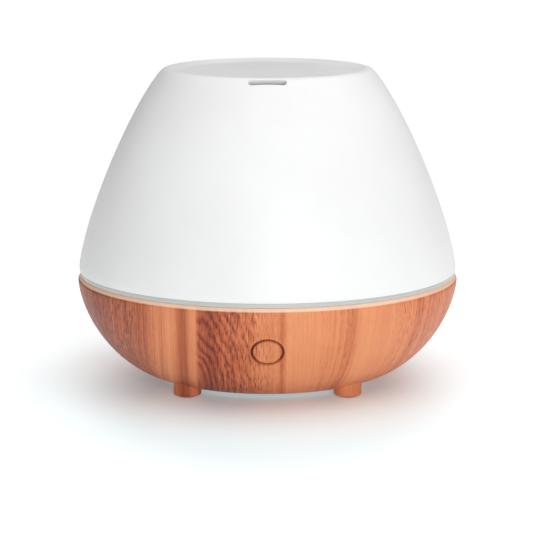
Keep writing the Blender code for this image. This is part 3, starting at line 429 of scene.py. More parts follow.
WOOD = wood_print()
FROST = frosted("frosted_fine")
COVER = plastic("splash_cover_fine", (0.80, 0.815, 0.81), 0.32, 0.02, 1200.0, 0.04, subsurface=0.5, radius=0.004)
# the edge colour is painted shade on the flange band under the dome
TANK = turned_plastic("tank_white_fine", (0.78, 0.78, 0.765), 0.34, (0.56, 0.56, 0.53))
WHITE = plastic("white_fine", (0.76, 0.76, 0.745), 0.42, 0.03, 1000.0, 0.10)
BLACK = plastic("black_fine", (0.020, 0.020, 0.022), 0.46, 0.10, 1300.0, 0.16)
STEEL = metal("steel_fine", (0.62, 0.62, 0.63), 0.28)
SILVER = metal("disc_fine", (0.80, 0.76, 0.66), 0.24, (1.0, 1.0, 1.0), 500.0)
ALUMINIUM = metal("aluminium_fine", (0.72, 0.72, 0.74), 0.34, (1.0, 1.0, 9.0), 260.0)
BRASS = metal("pin_fine", (0.72, 0.66, 0.48), 0.22)
RUBBER = rubber("rubber_fine")
SILICONE = rubber("silicone_fine", (0.16, 0.16, 0.165))
GREEN = board_green("board_fine")
LAMP = plastic("lamp_fine", (0.92, 0.88, 0.62), 0.18, 0.03, 900.0, 0.03, subsurface=0.4, radius=0.001, coat=0.6)
LEAD_RED = plastic("lead_red_fine", (0.42, 0.030, 0.026), 0.36, 0.08, 1500.0, 0.10)
LEAD_BLACK = plastic("lead_black_fine", (0.022, 0.022, 0.024), 0.38, 0.08, 1500.0, 0.10)
COPPER = metal("winding_fine", (0.66, 0.30, 0.14), 0.30, (1.0, 1.0, 40.0), 300.0)

# ------------------------------------------------------------------ mesh helpers (millimetres)


def rounded(points, steps=4):
    """An outline with its corners rounded. Each point is (r, z) or (r, z, radius)."""
    out = []
    count = len(points)
    for k, p in enumerate(points):
        rad = p[2] if len(p) > 2 else 0.0
        here = Vector(p[:2])
        if rad <= 0:
            out.append(tuple(here))
            continue
        before, after = Vector(points[k - 1][:2]), Vector(points[(k + 1) % count][:2])
        a, b = before - here, after - here
        la, lb = a.length, b.length
        a.normalize()
        b.normalize()
        turn = math.pi - a.angle(b)
        reach = min(rad * math.tan(turn / 2), la * 0.48, lb * 0.48)
        p0, p1 = here + a * reach, here + b * reach
        for j in range(steps + 1):
            t = j / steps
            q = p0 * (1 - t) ** 2 + here * 2 * (1 - t) * t + p1 * t * t
            out.append((max(q.x, 0.0), q.y))
    return out


def add_lathe(bm, loop, seg, centre=(0.0, 0.0), matrix=None):
    rings = []
    for p in loop:
        r, z = p[0], p[1]
        if r < 1e-6:
            rings.append([bm.verts.new((centre[0], centre[1], z))])
        else:
            rings.append([bm.verts.new((centre[0] + r * math.cos(2 * math.pi * k / seg),
                                        centre[1] + r * math.sin(2 * math.pi * k / seg), z)) for k in range(seg)])
    for a, b in zip(rings, rings[1:] + rings[:1]):
        if len(a) == 1 and len(b) == 1:
            continue
        for k in range(seg):
            m = (k + 1) % seg
            if len(a) == 1:
                bm.faces.new((a[0], b[m], b[k]))
            elif len(b) == 1:
                bm.faces.new((a[k], a[m], b[0]))
            else:
                bm.faces.new((a[k], a[m], b[m], b[k]))
    made = [v for ring in rings for v in ring]
    if matrix is not None:
        bmesh.ops.transform(bm, matrix=matrix, verts=made)
    return made


def add_rings(bm, rings, closed):
    made = [[bm.verts.new(p) for p in ring] for ring in rings]
    n = len(made[0])
    pairs = list(zip(made, made[1:]))
    if closed:
        pairs.append((made[-1], made[0]))
    for a, b in pairs:
        for k in range(n):
            m = (k + 1) % n
            bm.faces.new((a[k], a[m], b[m], b[k]))
    if not closed:
        bm.faces.new(list(reversed(made[0])))
        bm.faces.new(made[-1])
    return [v for ring in made for v in ring]


def add_box(bm, x0, x1, y0, y1, z0, z1, matrix=None):
    ring = [(x0, y0), (x1, y0), (x1, y1), (x0, y1)]
    made = add_rings(bm, [[(x, y, z) for x, y in ring] for z in (z0, z1)], False)
    if matrix is not None:
        bmesh.ops.transform(bm, matrix=matrix, verts=made)


def add_cyl(bm, r, z0, z1, centre, seg=32, matrix=None):
    return add_lathe(bm, [(0, z0), (r, z0), (r, z1), (0, z1)], seg, centre, matrix)


def stadium(width, depth, cx, cy, z, n=12):
    rad, half = depth / 2, width / 2 - depth / 2
    pts = []
    for side in (1, -1):
        for k in range(n + 1):
            a = -side * math.pi / 2 * 1 + math.pi * k / n if side == 1 else math.pi / 2 + math.pi * k / n
            pts.append((cx + side * half + rad * math.cos(a), cy + rad * math.sin(a), z))
    return pts


def arc_block(bm, cx, cy, r0, r1, a0, a1, z0, z1, n):
    sections = []
    for k in range(n + 1):
        a = math.radians(a0 + (a1 - a0) * k / n)
        i = (cx + r0 * math.cos(a), cy + r0 * math.sin(a))
        o = (cx + r1 * math.cos(a), cy + r1 * math.sin(a))
        sections.append([(i[0], i[1], z0), (o[0], o[1], z0), (o[0], o[1], z1), (i[0], i[1], z1)])
    add_rings(bm, sections, False)


def shade(obj, angle=35.0):
    obj.data.shade_smooth()
    obj.data.set_sharp_from_angle(angle=math.radians(angle))


def make(bm, name, mats, angle=35.0):
    """A linked object from millimetre geometry, its origin at the row frame's origin."""
    bmesh.ops.remove_doubles(bm, verts=bm.verts, dist=1e-5)
    bmesh.ops.recalc_face_normals(bm, faces=bm.faces)
    for v in bm.verts:
        v.co *= MM
    mesh = bpy.data.meshes.new(name)
    bm.to_mesh(mesh)
    bm.free()
    for m in mats if isinstance(mats, (list, tuple)) else [mats]:
        mesh.materials.append(m)
    obj = bpy.data.objects.new(name, mesh)
    bpy.context.scene.collection.objects.link(obj)
    shade(obj, angle)
    return obj


def boolean(obj, operation, build, angle=35.0):
    bm = bmesh.new()
    build(bm)
    tool = make(bm, "tool", obj.data.materials[0])
    mod = obj.modifiers.new("cut", "BOOLEAN")
    mod.operation = operation
    mod.solver = "EXACT"
    mod.use_self = operation == "UNION"
    mod.object = tool
    bpy.context.view_layer.update()
    result = bpy.data.meshes.new_from_object(obj.evaluated_get(bpy.context.evaluated_depsgraph_get()))
    obj.modifiers.clear()
    former = obj.data
    obj.data = result
    bpy.data.meshes.remove(former)
    gone = tool.data
    bpy.data.objects.remove(tool)
    bpy.data.meshes.remove(gone)
    clean = bmesh.new()
    clean.from_mesh(result)
    bmesh.ops.remove_doubles(clean, verts=clean.verts, dist=1e-6)
    bmesh.ops.dissolve_degenerate(clean, edges=clean.edges, dist=1e-6)
    clean.to_mesh(result)
    clean.free()
    shade(obj, angle)


def soften(obj, width, segments=2, angle=40.0):
    """A small bevel on the hard edges."""
    mod = obj.modifiers.new("edge", "BEVEL")
    mod.width = width * MM
    mod.segments = segments
    mod.limit_method = "ANGLE"
    mod.angle_limit = math.radians(angle)
    mod.harden_normals = False
    return obj


def own(obj, body, slot, *replaced):
    """The piece rides on a body and stands in for CAD nodes, which are hidden. slot is not used."""
    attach(obj, body)
    if replaced:
        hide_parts(*replaced)
    return obj


def dress(name, mat, bevel=0.0, segments=2):
    """A CAD node keeps its shape and gets a finished material, with softened edges."""
    obj = nodes[name]
    obj.data.materials.clear()
    obj.data.materials.append(mat)
    if bevel:
        soften(obj, bevel, segments)
    return obj


def bezier(p0, p1, p2, p3, n):
    pts = []
    for k in range(n + 1):
        t = k / n
        a, b, c, d = (1 - t) ** 3, 3 * (1 - t) ** 2 * t, 3 * (1 - t) * t * t, t ** 3
        pts.append(tuple(a * w + b * x + c * y + d * z for w, x, y, z in zip(p0, p1, p2, p3)))
    return pts


def offset(pts, dist):
    out = []
    for k, (r, z) in enumerate(pts):
        a, b = pts[max(k - 1, 0)], pts[min(k + 1, len(pts) - 1)]
        dr, dz = b[0] - a[0], b[1] - a[1]
        size = math.hypot(dr, dz)
        out.append((r - dz / size * dist, z + dr / size * dist))
    return out


def bowl_r(z):
    t = (RIM_Z - z) / (RIM_Z - SHELL_LOW_Z)
    return SHELL_FLAT_R + (SHELL_R - SHELL_FLAT_R) * (1 - t ** BOWL_P) ** BOWL_Q


def bowl_points(n):
    t_open = (1 - ((COVER_OPENING_R - SHELL_FLAT_R) / (SHELL_R - SHELL_FLAT_R)) ** (1 / BOWL_Q)) ** (1 / BOWL_P)
    s_open = math.asin(t_open)
    pts = []
    for k in range(n + 1):
        t = math.sin(s_open * (1 - k / n))
        z = RIM_Z - (RIM_Z - SHELL_LOW_Z) * t
        pts.append((bowl_r(z), z))
    return pts


def td_point(angle, radius=TD_SCREW_R):
    a = math.radians(angle)
    return TD_X + radius * math.cos(a), TD_Y + radius * math.sin(a)


# ------------------------------------------------------------------ dome cover

turn = math.pi / 2 - DOME_LEAN
reach = DOME_FILLET * math.tan(turn / 2)
lean_up = (-math.sin(DOME_LEAN), math.cos(DOME_LEAN))
wall_end = (DOME_CORNER_R - lean_up[0] * reach, DOME_TOP_Z - lean_up[1] * reach)
wall = bezier((SHELL_R, RIM_Z), (SHELL_R, RIM_Z + DOME_H1),
              (wall_end[0] - lean_up[0] * DOME_H2, wall_end[1] - lean_up[1] * DOME_H2), wall_end, 54)
wall = [p for p in wall if p[1] > DOME_Z0 + 1.2]
cx, cz = wall_end[0] - math.cos(DOME_LEAN) * DOME_FILLET, wall_end[1] - math.sin(DOME_LEAN) * DOME_FILLET
shoulder = [(cx + DOME_FILLET * math.cos(DOME_LEAN + turn * k / 10), cz + DOME_FILLET * math.sin(DOME_LEAN + turn * k / 10))
            for k in range(1, 11)]
top_r = shoulder[-1][0]
ceiling = DOME_TOP_Z - DISH_DEPTH - DOME_T
inside = [p for p in offset(wall, DOME_T) if p[1] < ceiling - 1.2]
SEAT = 0.24      # pieces that rest on each other close up to a hair
outline = [(DOME_EDGE_R - DOME_T, DOME_Z0 - SEAT, 0.3), (DOME_EDGE_R, DOME_Z0 - SEAT, 0.35)] + wall + shoulder
outline += [(top_r - 0.8, DOME_TOP_Z, 2.4), (DISH_R - 1.0, DOME_TOP_Z - DISH_DEPTH + 0.05, 3.5), (DISH_R - 6.0, DOME_TOP_Z - DISH_DEPTH),
            (0, DOME_TOP_Z - DISH_DEPTH - 0.15), (0, ceiling), (inside[-1][0] - 1.2, ceiling, 1.2)]
outline += list(reversed(inside))
bm = bmesh.new()
add_lathe(bm, rounded(outline, 6), 180)
dome = make(bm, "dome", FROST)


def slot_tool(bm, grow=0.0, depth=-6.0, height=4.0):
    lean = math.radians(36)
    out = Vector((0, -math.sin(lean), math.cos(lean)))
    along = Vector((1, 0, 0))
    across = out.cross(along)
    matrix = Matrix((along, across, out)).transposed().to_4x4()
    matrix.translation = Vector((0, -SLOT_R, SLOT_Z))
    rings = [stadium(SLOT_W + g, SLOT_H + g, 0, 0, z) for g, z in
             ((0, depth), (0, -0.45), (0.10, -0.20), (0.35, 0.0), (0.5, 0.12), (0.5, height))]
    made = add_rings(bm, rings, False)
    bmesh.ops.transform(bm, matrix=matrix, verts=made)


boolean(dome, "DIFFERENCE", slot_tool)
own(dome, "dome", "frosted_cover", "dome_cover")

# ------------------------------------------------------------------ inner splash cover

line = bezier((72.0, 51.6), (60.0, 58.0), (20.0, 60.0), (14.0, 84.0), 60)


def cover_ring(u, inset, drop=0.0, n=72):
    if u <= 0.55:
        f = u / 0.55 * 60
        k = min(int(f), 59)
        f -= k
        a = b = line[k][0] * (1 - f) + line[k + 1][0] * f
        z = line[k][1] * (1 - f) + line[k + 1][1] * f
        y = 0.0
    else:
        f = (u - 0.55) / 0.45
        z = 84.0 + (chimney_high.z - 84.0) * f
        s = f * f * (3 - 2 * f)
        a, b, y = 14.0 - 3.5 * s, 14.0 - 8.5 * s, -37.0 * s
    a, b = a - inset, b - inset
    return [(a * math.cos(2 * math.pi * k / n), y + b * math.sin(2 * math.pi * k / n), z - drop) for k in range(n)]


def flat_ring(r, z, n=72):
    return [(r * math.cos(2 * math.pi * k / n), r * math.sin(2 * math.pi * k / n), z) for k in range(n)]


rim = rounded([(70.6, 50.6), (71.0, 49.6, 0.3), (cover_high.x, 49.6, 0.4), (cover_high.x, 51.2, 0.5), (73.2, 51.3, 0.5), (72.2, 51.5)], 4)[1:-1]
levels = [0.55 * k / 36 for k in range(37)]
outer_rings = [flat_ring(r, z) for r, z in rim] + [cover_ring(u, 0.0) for u in levels[:-1]]
outer_rings += [cover_ring(0.55, 0.0, 0.25), cover_ring(0.55, 0.25, 0.03), cover_ring(0.55, 1.25, 0.0), cover_ring(0.55, 1.5, 0.25)]
inner_rings = [cover_ring(u, 1.5, 0.6) for u in reversed(levels[:-1])]
bm = bmesh.new()
add_rings(bm, outer_rings + inner_rings, True)
own(make(bm, "splash_skirt", COVER), "splash_cover", "splash_cover", "inner_cover")

SPIGOT_R = 12.2
NECK_Z = 84.3
lean_levels = [0.55 + 0.45 * f for f in [0.3 / 41.0] + [k / 28 for k in range(1, 28)]]
rings = [flat_ring(SPIGOT_R, NECK_Z), flat_ring(SPIGOT_R, 80.9), flat_ring(SPIGOT_R - 0.25, 80.6), flat_ring(SPIGOT_R - 0.55, 80.6),
         flat_ring(SPIGOT_R - 0.75, 80.8), flat_ring(SPIGOT_R - 0.75, 84.6)]
rings += [cover_ring(u, 1.5) for u in lean_levels[1:]] + [cover_ring(1.0, 1.5, 0.3), cover_ring(1.0, 1.3, 0.03), cover_ring(1.0, 0.3, 0.0), cover_ring(1.0, 0.0, 0.3)]
rings += [cover_ring(u, 0.0) for u in reversed(lean_levels[1:])] + [cover_ring(lean_levels[0], 0.0, -0.25), cover_ring(lean_levels[0], 0.25)]
bm = bmesh.new()
add_rings(bm, rings, True)
own(make(bm, "chimney", COVER), "splash_cover", "splash_cover", "mist_chimney")

# ------------------------------------------------------------------ water tank

basin_in = bezier((TANK_MOUTH_R, FLANGE_Z1 - 0.8), (TANK_MOUTH_R, 34.0), (61.0, TANK_FLOOR_Z), (TANK_FLOOR_R, TANK_FLOOR_Z), 26)
basin_out = bezier((TANK_MOUTH_R + 2.0, FLANGE_Z0), (TANK_MOUTH_R + 2.0, 33.5), (62.0, TANK_UNDER_Z), (TANK_FLOOR_R, TANK_UNDER_Z), 26)
marked = []
for r, z in basin_in:      # the fill line: a fine groove round the basin
    marked.append((r, z))
    if len(marked) > 1 and marked[-2][1] > 43.0 >= z:
        marked[-1:] = [(r + 0.02, 43.25), (r + 0.35, 43.1), (r + 0.35, 42.8), (r, 42.65), (r, min(z, 42.4))]
outline = [(0, TANK_UNDER_Z)] + list(reversed(basin_out))
outline += [(SHELL_TOP_R - 0.6, FLANGE_Z0), (SHELL_TOP_R - 0.4, FLANGE_Z0 - SEAT, 0.1), (FLANGE_R, FLANGE_Z0 - SEAT, 0.3), (FLANGE_R, FLANGE_Z1, 0.3), (LIP_R1, FLANGE_Z1, 0.35), (LIP_R1, LIP_Z, 0.5), (LIP_R0, LIP_Z, 0.5),
            (LIP_R0, FLANGE_Z1, 0.4), (TANK_MOUTH_R + 0.8, FLANGE_Z1, 0.6)]
outline += marked + [(0, TANK_FLOOR_Z)]
bm = bmesh.new()
add_lathe(bm, rounded(outline, 4), 160)
tank = make(bm, "tank", TANK)


def tank_adds(bm):
    for sx in (-1, 1):
        for sy in (-1, 1):
            add_cyl(bm, PILLAR_R, 6.7, TANK_UNDER_Z + 1.0, (sx * PILLAR_XY, sy * PILLAR_XY), 32)
    for dx, dy in FAN_SCREWS:
        add_cyl(bm, 2.8, FAN_Z1 + 0.3, TANK_UNDER_Z + 1.0, (FAN_X + dx, FAN_Y + dy), 32)
    for angle in LED_SCREWS:
        add_cyl(bm, 2.5, LED_Z1 + 0.3, TANK_UNDER_Z + 1.0, td_point(angle, (LED_R0 + LED_R1) / 2), 32)


def tank_well(bm):
    add_lathe(bm, [(12.5, 18.6), (15.5, 18.6), (15.5, 23.0), (12.5, 23.0)], 64, (TD_X, TD_Y))


def tank_bosses(bm):
    for angle in TD_ANGLES:
        add_cyl(bm, 2.6, 18.6, TANK_UNDER_Z + 1.0, td_point(angle), 32)


def tank_duct(bm):
    rings = [stadium(AIR_W, AIR_D, AIR_X, AIR_Y, TANK_UNDER_Z + 0.4)]
    for g, dz in ((0.0, 0.6), (-0.16, 0.3), (-0.5, 0.08), (-0.9, 0.0)):
        rings.append(stadium(AIR_W + g, AIR_D + g, AIR_X, AIR_Y, AIR_TOP_Z - dz))
    add_rings(bm, rings, False)


def duct_foot(bm):
    # a small fillet where the duct rises from the tank floor
    rings = []
    for k in range(7):
        a = math.pi / 2 * k / 6
        g = 3.2 * (1 - math.sin(a))
        rings.append(stadium(AIR_W + g, AIR_D + g, AIR_X, AIR_Y, TANK_FLOOR_Z - 0.3 + 1.9 * (1 - math.cos(a))))
    add_rings(bm, [stadium(AIR_W + 3.2, AIR_D + 3.2, AIR_X, AIR_Y, TANK_FLOOR_Z - 0.9)] + rings, False)


def tank_cuts(bm):
    inner = []
    for g, z in ((0.0, TANK_UNDER_Z - 2), (0.0, AIR_TOP_Z - 0.5), (0.3, AIR_TOP_Z - 0.1), (1.0, AIR_TOP_Z + 0.6)):
        inner.append(stadium(AIR_W - 2 * AIR_WALL + g, AIR_D - 2 * AIR_WALL + g, AIR_X, AIR_Y, z))
    add_rings(bm, inner, False)
    add_lathe(bm, [(0, TANK_UNDER_Z - 1), (8.2, TANK_UNDER_Z - 1), (8.2, TANK_FLOOR_Z - 0.7), (9.3, TANK_FLOOR_Z + 0.2), (9.3, TANK_FLOOR_Z + 1), (0, TANK_FLOOR_Z + 1)], 64, (TD_X, TD_Y))
    for sx in (-1, 1):
        for sy in (-1, 1):
            add_cyl(bm, 1.6, 5.0, 14.0, (sx * PILLAR_XY, sy * PILLAR_XY), 24)
    for dx, dy in FAN_SCREWS:
        add_cyl(bm, 1.6, 16.0, 22.6, (FAN_X + dx, FAN_Y + dy), 24)
    for angle in LED_SCREWS:
        add_cyl(bm, 1.3, 18.0, 22.6, td_point(angle, (LED_R0 + LED_R1) / 2), 24)
    for angle in TD_ANGLES:
        add_cyl(bm, 1.4, 17.5, 22.6, td_point(angle), 24)


for step, build in (("UNION", tank_adds), ("UNION", tank_well), ("UNION", tank_bosses), ("UNION", tank_duct), ("UNION", duct_foot),
                    ("DIFFERENCE", tank_cuts)):
    boolean(tank, step, build)
own(tank, "base", "white_plastic", "water_tank", "air_duct")

# ------------------------------------------------------------------ base shell

outer = bowl_points(46)
inner = [p for p in offset(outer, SHELL_T) if p[1] > LEDGE_Z1 + 0.6]
outline = [(COVER_OPENING_R, LEDGE_Z0), (COVER_OPENING_R, outer[0][1], 0.3)] + outer[1:-1]
outline += [(SHELL_R, RIM_Z, 0.5), (SHELL_TOP_R, SHELL_TOP_Z, 0.35), (SHELL_R - SHELL_T - 0.4, SHELL_TOP_Z, 0.3)]
outline += list(reversed(inner))
outline += [(inner[0][0] - 1.5, LEDGE_Z1, 1.0), (LEDGE_R, LEDGE_Z1, 0.3), (LEDGE_R, LEDGE_Z0, 0.3)]
bm = bmesh.new()
add_lathe(bm, rounded(outline, 5), 192)
shell = make(bm, "wood_bowl", WOOD)

slope = (bowl_r(BUTTON_Z + 0.01) - bowl_r(BUTTON_Z - 0.01)) / 0.02
lean = math.atan(slope)
out = Vector((0, -math.cos(lean), -math.sin(lean)))
along = Vector((1, 0, 0))
BUTTON_FRAME = Matrix((along, out.cross(along), out)).transposed().to_4x4()
BUTTON_FRAME.translation = Vector((0, -bowl_r(BUTTON_Z), BUTTON_Z))
JACK_FRAME = Matrix.Translation((0, 0, JACK_Z)) @ Matrix.Rotation(math.radians(-90), 4, "X")


def foot_points():
    for sx, sy in ((-1, -1), (1, -1), (-1, 1), (1, 1)):
        a = math.radians(FOOT_ANGLE)
        yield sx * FOOT_R * math.sin(a), sy * FOOT_R * math.cos(a)


def feet(bm):
    for x, y in foot_points():
        loop = rounded([(0, 0.5), (FOOT_HALF, 0.5, 1.0), (FOOT_HALF, 6.9), (0, 6.9)], 6)
        add_lathe(bm, loop, 48, (x, y))


def shell_cuts(bm):
    for x, y in foot_points():
        add_cyl(bm, PAD_R + 0.3, -1.0, 1.8, (x, y), 40)
    for sx in (-1, 1):
        for sy in (-1, 1):
            add_cyl(bm, 1.7, LEDGE_Z0 - 1, LEDGE_Z1 + 1, (sx * PILLAR_XY, sy * PILLAR_XY), 24)
    # button opening with a softly rolled edge
    add_lathe(bm, [(0, -8.0), (BUTTON_HOLE_R, -8.0), (BUTTON_HOLE_R, -1.0), (BUTTON_HOLE_R + 0.09, -0.68), (BUTTON_HOLE_R + 0.30, -0.42),
                   (BUTTON_HOLE_R + 0.62, -0.22), (BUTTON_HOLE_R + 1.3, 0.2), (BUTTON_HOLE_R + 1.3, 4.0), (0, 4.0)], 72, (0, 0), BUTTON_FRAME)
    add_cyl(bm, JACK_HOLE_R, 70.0, 90.0, (0, 0), 56, JACK_FRAME)


boolean(shell, "UNION", feet)
boolean(shell, "DIFFERENCE", shell_cuts)
own(shell, "base", "wood_grain", "wood_shell")

# ------------------------------------------------------------------ button


def cap_face(rho):
    return -0.30 * (rho / BUTTON_R) ** 2


outline = [(0, 0.0)] + [(rho, cap_face(rho)) for rho in (1.0, 2.0, 3.0, 4.0, 4.8)]
for k in range(9):      # broad soft edge
    a = math.pi / 2 * (1 - k / 8)
    outline.append((BUTTON_R - 1.15 + 1.15 * math.cos(a), cap_face(5.05) - 1.0 + 1.0 * math.sin(a)))
outline += [(BUTTON_R, -3.5), (7.6, -3.5, 0.2), (7.6, -4.5, 0.2), (2.0, -4.5), (2.0, -6.9), (0, -6.9)]
bm = bmesh.new()
add_lathe(bm, rounded(outline, 3), 72, (0, 0), BUTTON_FRAME)
cap = make(bm, "button_face", WOOD)
own(cap, "button", "wood_grain", "button_cap")

bm = bmesh.new()
add_lathe(bm, rounded([(0, -7.2), (1.6, -7.2, 0.35), (1.6, -9.2, 0.15), (0, -9.2)], 4), 32, (0, 0), BUTTON_FRAME)
own(make(bm, "switch_stem", BLACK), "button", "black_plastic", "switch_plunger")
bm = bmesh.new()
add_lathe(bm, rounded([(8.1, -4.0, 0.25), (9.5, -4.0, 0.3), (9.5, -10.3, 0.2), (8.1, -10.3, 0.2)], 3), 64, (0, 0), BUTTON_FRAME)
own(make(bm, "button_sleeve", WHITE), "base", "white_plastic", "button_guide")
dress("tact_switch", STEEL, 0.2)
dress("button_board", GREEN, 0.1)

# ------------------------------------------------------------------ foot pads

for index, (x, y) in enumerate(foot_points()):
    bm = bmesh.new()
    loop = rounded([(0, 0.25), (1.4, 0.25, 0.2), (1.7, 0.0, 0.2), (PAD_R, 0.0, 0.45), (PAD_R, 1.5, 0.15), (0, 1.5)], 4)
    add_lathe(bm, loop, 40, (x, y))
    own(make(bm, "pad_%d" % (index + 1), RUBBER), "base", "rubber", "foot_pad_%d" % (index + 1))

# ------------------------------------------------------------------ bottom cover

bm = bmesh.new()
outline = [(0, BOTTOM_Z0 + 0.35), (BOTTOM_R - 3.0, BOTTOM_Z0 + 0.35, 0.3), (BOTTOM_R - 2.6, BOTTOM_Z0, 0.3), (BOTTOM_R, BOTTOM_Z0, 0.45), (BOTTOM_R, BOTTOM_Z1), (0, BOTTOM_Z1)]
add_lathe(bm, rounded(outline, 4), 120)
plate = make(bm, "bottom_plate", WHITE)


def plate_posts(bm):
    for x, y in BOARD_HOLES:
        add_cyl(bm, 2.4, BOTTOM_Z1 - 0.8, BOARD_Z0 - 0.3, (x, y), 28)
    # shallow rings that stiffen the plate round its screws
    for sx in (-1, 1):
        for sy in (-1, 1):
            add_lathe(bm, rounded([(3.2, BOTTOM_Z0 + 0.02), (4.0, BOTTOM_Z0 + 0.02, 0.1), (4.0, BOTTOM_Z0 + 1.0), (3.2, BOTTOM_Z0 + 1.0)], 2), 32, (sx * PILLAR_XY, sy * PILLAR_XY))


def plate_cuts(bm):
    for radius in (5.0, 10.8, 16.6):
        for k in range(4):
            gap = math.degrees(1.3 / radius)
            arc_block(bm, FAN_X, FAN_Y - 2.5, radius - 1.5, radius + 1.5, 45 + 90 * k + gap, 135 + 90 * k - gap, BOTTOM_Z0 - 1, BOTTOM_Z1 + 1, 14)
    for sx in (-1, 1):
        for sy in (-1, 1):
            add_cyl(bm, 1.7, BOTTOM_Z0 - 1, BOTTOM_Z1 + 1, (sx * PILLAR_XY, sy * PILLAR_XY), 24)
    for x, y in BOARD_HOLES:
        add_cyl(bm, 1.2, 5.0, 9.0, (x, y), 24)


boolean(plate, "UNION", plate_posts)
boolean(plate, "DIFFERENCE", plate_cuts)
soften(plate, 0.12, 2, 50)
own(plate, "base", "white_plastic", "bottom_cover")

# ------------------------------------------------------------------ screws


def fine_screw(name, node, body="base", up=True, pitch=0.55):
    """A pan-head screw with a cross recess and a threaded shank, in its CAD node's place."""
    low, high = node_box(node)
    x, y = (low.x + high.x) / 2, (low.y + high.y) / 2
    head_r = (high.x - low.x) / 2
    length = high.z - low.z
    head_h = 1.25
    shank_r = head_r * 0.50
    # built pointing up with the head at the bottom, z = 0 at the head's outer face
    loop = rounded([(0, 0.0), (head_r * 0.55, 0.0, 1.2), (head_r, head_h * 0.55, 0.5), (head_r, head_h, 0.1), (shank_r, head_h)], 4)
    z = head_h + 0.1
    while z + pitch < length - shank_r:
        loop += [(shank_r * 0.82, z), (shank_r, z + pitch * 0.5)]
        z += pitch
    loop += [(shank_r * 0.8, length - shank_r), (0, length)]
    bm = bmesh.new()
    add_lathe(bm, loop, 24)
    obj = make(bm, name, STEEL)

    # cross recess, one slot at a time; a cut that empties the screw is taken back
    for a in (45, 135):
        def recess(tool):
            add_box(tool, -head_r * 0.52, head_r * 0.52, -head_r * 0.12, head_r * 0.12, -0.5, head_h * 0.62, Matrix.Rotation(math.radians(a), 4, "Z"))

        whole = obj.data.copy()
        boolean(obj, "DIFFERENCE", recess)
        if not obj.data.polygons:
            obj.data = whole
    move = Matrix.Translation((x * MM, y * MM, (low.z if up else high.z) * MM))
    if not up:
        move = move @ Matrix.Rotation(math.pi, 4, "X")
    obj.data.transform(move)
    own(obj, body, "steel", node)
    return obj


for k in range(1, 5):
    fine_screw("case_screw_%d" % k, "bottom_screw_%d" % k)
    fine_screw("pcb_screw_%d" % k, "board_screw_%d" % k, up=False, pitch=0.45)
for k in range(1, 4):
    fine_screw("ring_screw_%d" % k, "clamp_screw_%d" % k, pitch=0.45)
for k in range(1, 3):
    fine_screw("lamp_screw_%d" % k, "led_board_screw_%d" % k, pitch=0.45)
    fine_screw("blower_screw_%d" % k, "fan_screw_%d" % k)

# ------------------------------------------------------------------ transducer

bm = bmesh.new()
disc = rounded([(0, 19.6), (10.0, 19.6, 0.25), (10.0, 20.5, 0.25), (7.0, 20.5), (6.9, 20.42), (6.6, 20.42), (6.5, 20.5), (3.2, 20.5), (3.1, 20.42), (2.8, 20.42), (2.7, 20.5), (0, 20.5)], 3)
add_lathe(bm, disc, 64, (TD_X, TD_Y))
own(make(bm, "mist_disc", SILVER), "base", "ceramic_disc", "transducer_disc")
bm = bmesh.new()
ring = rounded([(7.8, 18.7, 0.2), (12.2, 18.7, 0.4), (12.2, 21.7, 0.4), (7.8, 21.7, 0.35), (7.8, 20.8, 0.2), (10.3, 20.8), (10.3, 19.3), (7.8, 19.3, 0.2)], 3)
add_lathe(bm, ring, 64, (TD_X, TD_Y))
own(make(bm, "disc_seal", SILICONE), "base", "rubber", "transducer_seal")
bm = bmesh.new()
add_lathe(bm, rounded([(6.5, 17.0, 0.2), (20.3, 17.0, 0.25), (20.3, 18.3, 0.25), (6.5, 18.3, 0.2)], 3), 72, (TD_X, TD_Y))
clamp = make(bm, "clamp_ring", STEEL)


def clamp_holes(bm):
    for angle in TD_ANGLES:
        add_cyl(bm, 1.5, 16.0, 19.0, td_point(angle), 24)


boolean(clamp, "DIFFERENCE", clamp_holes)
own(clamp, "base", "steel", "transducer_clamp")

# ------------------------------------------------------------------ light board and lamps

dress("led_board", GREEN, 0.12)
for index, angle in enumerate(LED_ANGLES):
    x, y = td_point(angle, (LED_R0 + LED_R1) / 2)
    spin = Matrix.Translation((x, y, 0)) @ Matrix.Rotation(math.radians(angle), 4, "Z")
    bm = bmesh.new()
    add_box(bm, -2.5, 2.5, -2.5, 2.5, LED_Z1 + 0.3, LED_Z1 + 1.5, spin)
    lamp = make(bm, "lamp_%d" % (index + 1), [WHITE, LAMP])

    def lens(tool, at=(x, y)):
        add_lathe(tool, rounded([(0, LED_Z1 + 1.0), (1.9, LED_Z1 + 1.0), (1.9, LED_Z1 + 2.05, 0.5), (0, LED_Z1 + 2.1)], 5), 32, at)

    boolean(lamp, "UNION", lens)
    centre = Vector((x, y)) * MM
    for face in lamp.data.polygons:
        mid = face.center
        if (Vector((mid.x, mid.y)) - centre).length < 1.95 * MM and mid.z > (LED_Z1 + 1.48) * MM:
            face.material_index = 1
    own(lamp, "base", "led", "led_%d" % (index + 1))

# ------------------------------------------------------------------ driver board and parts

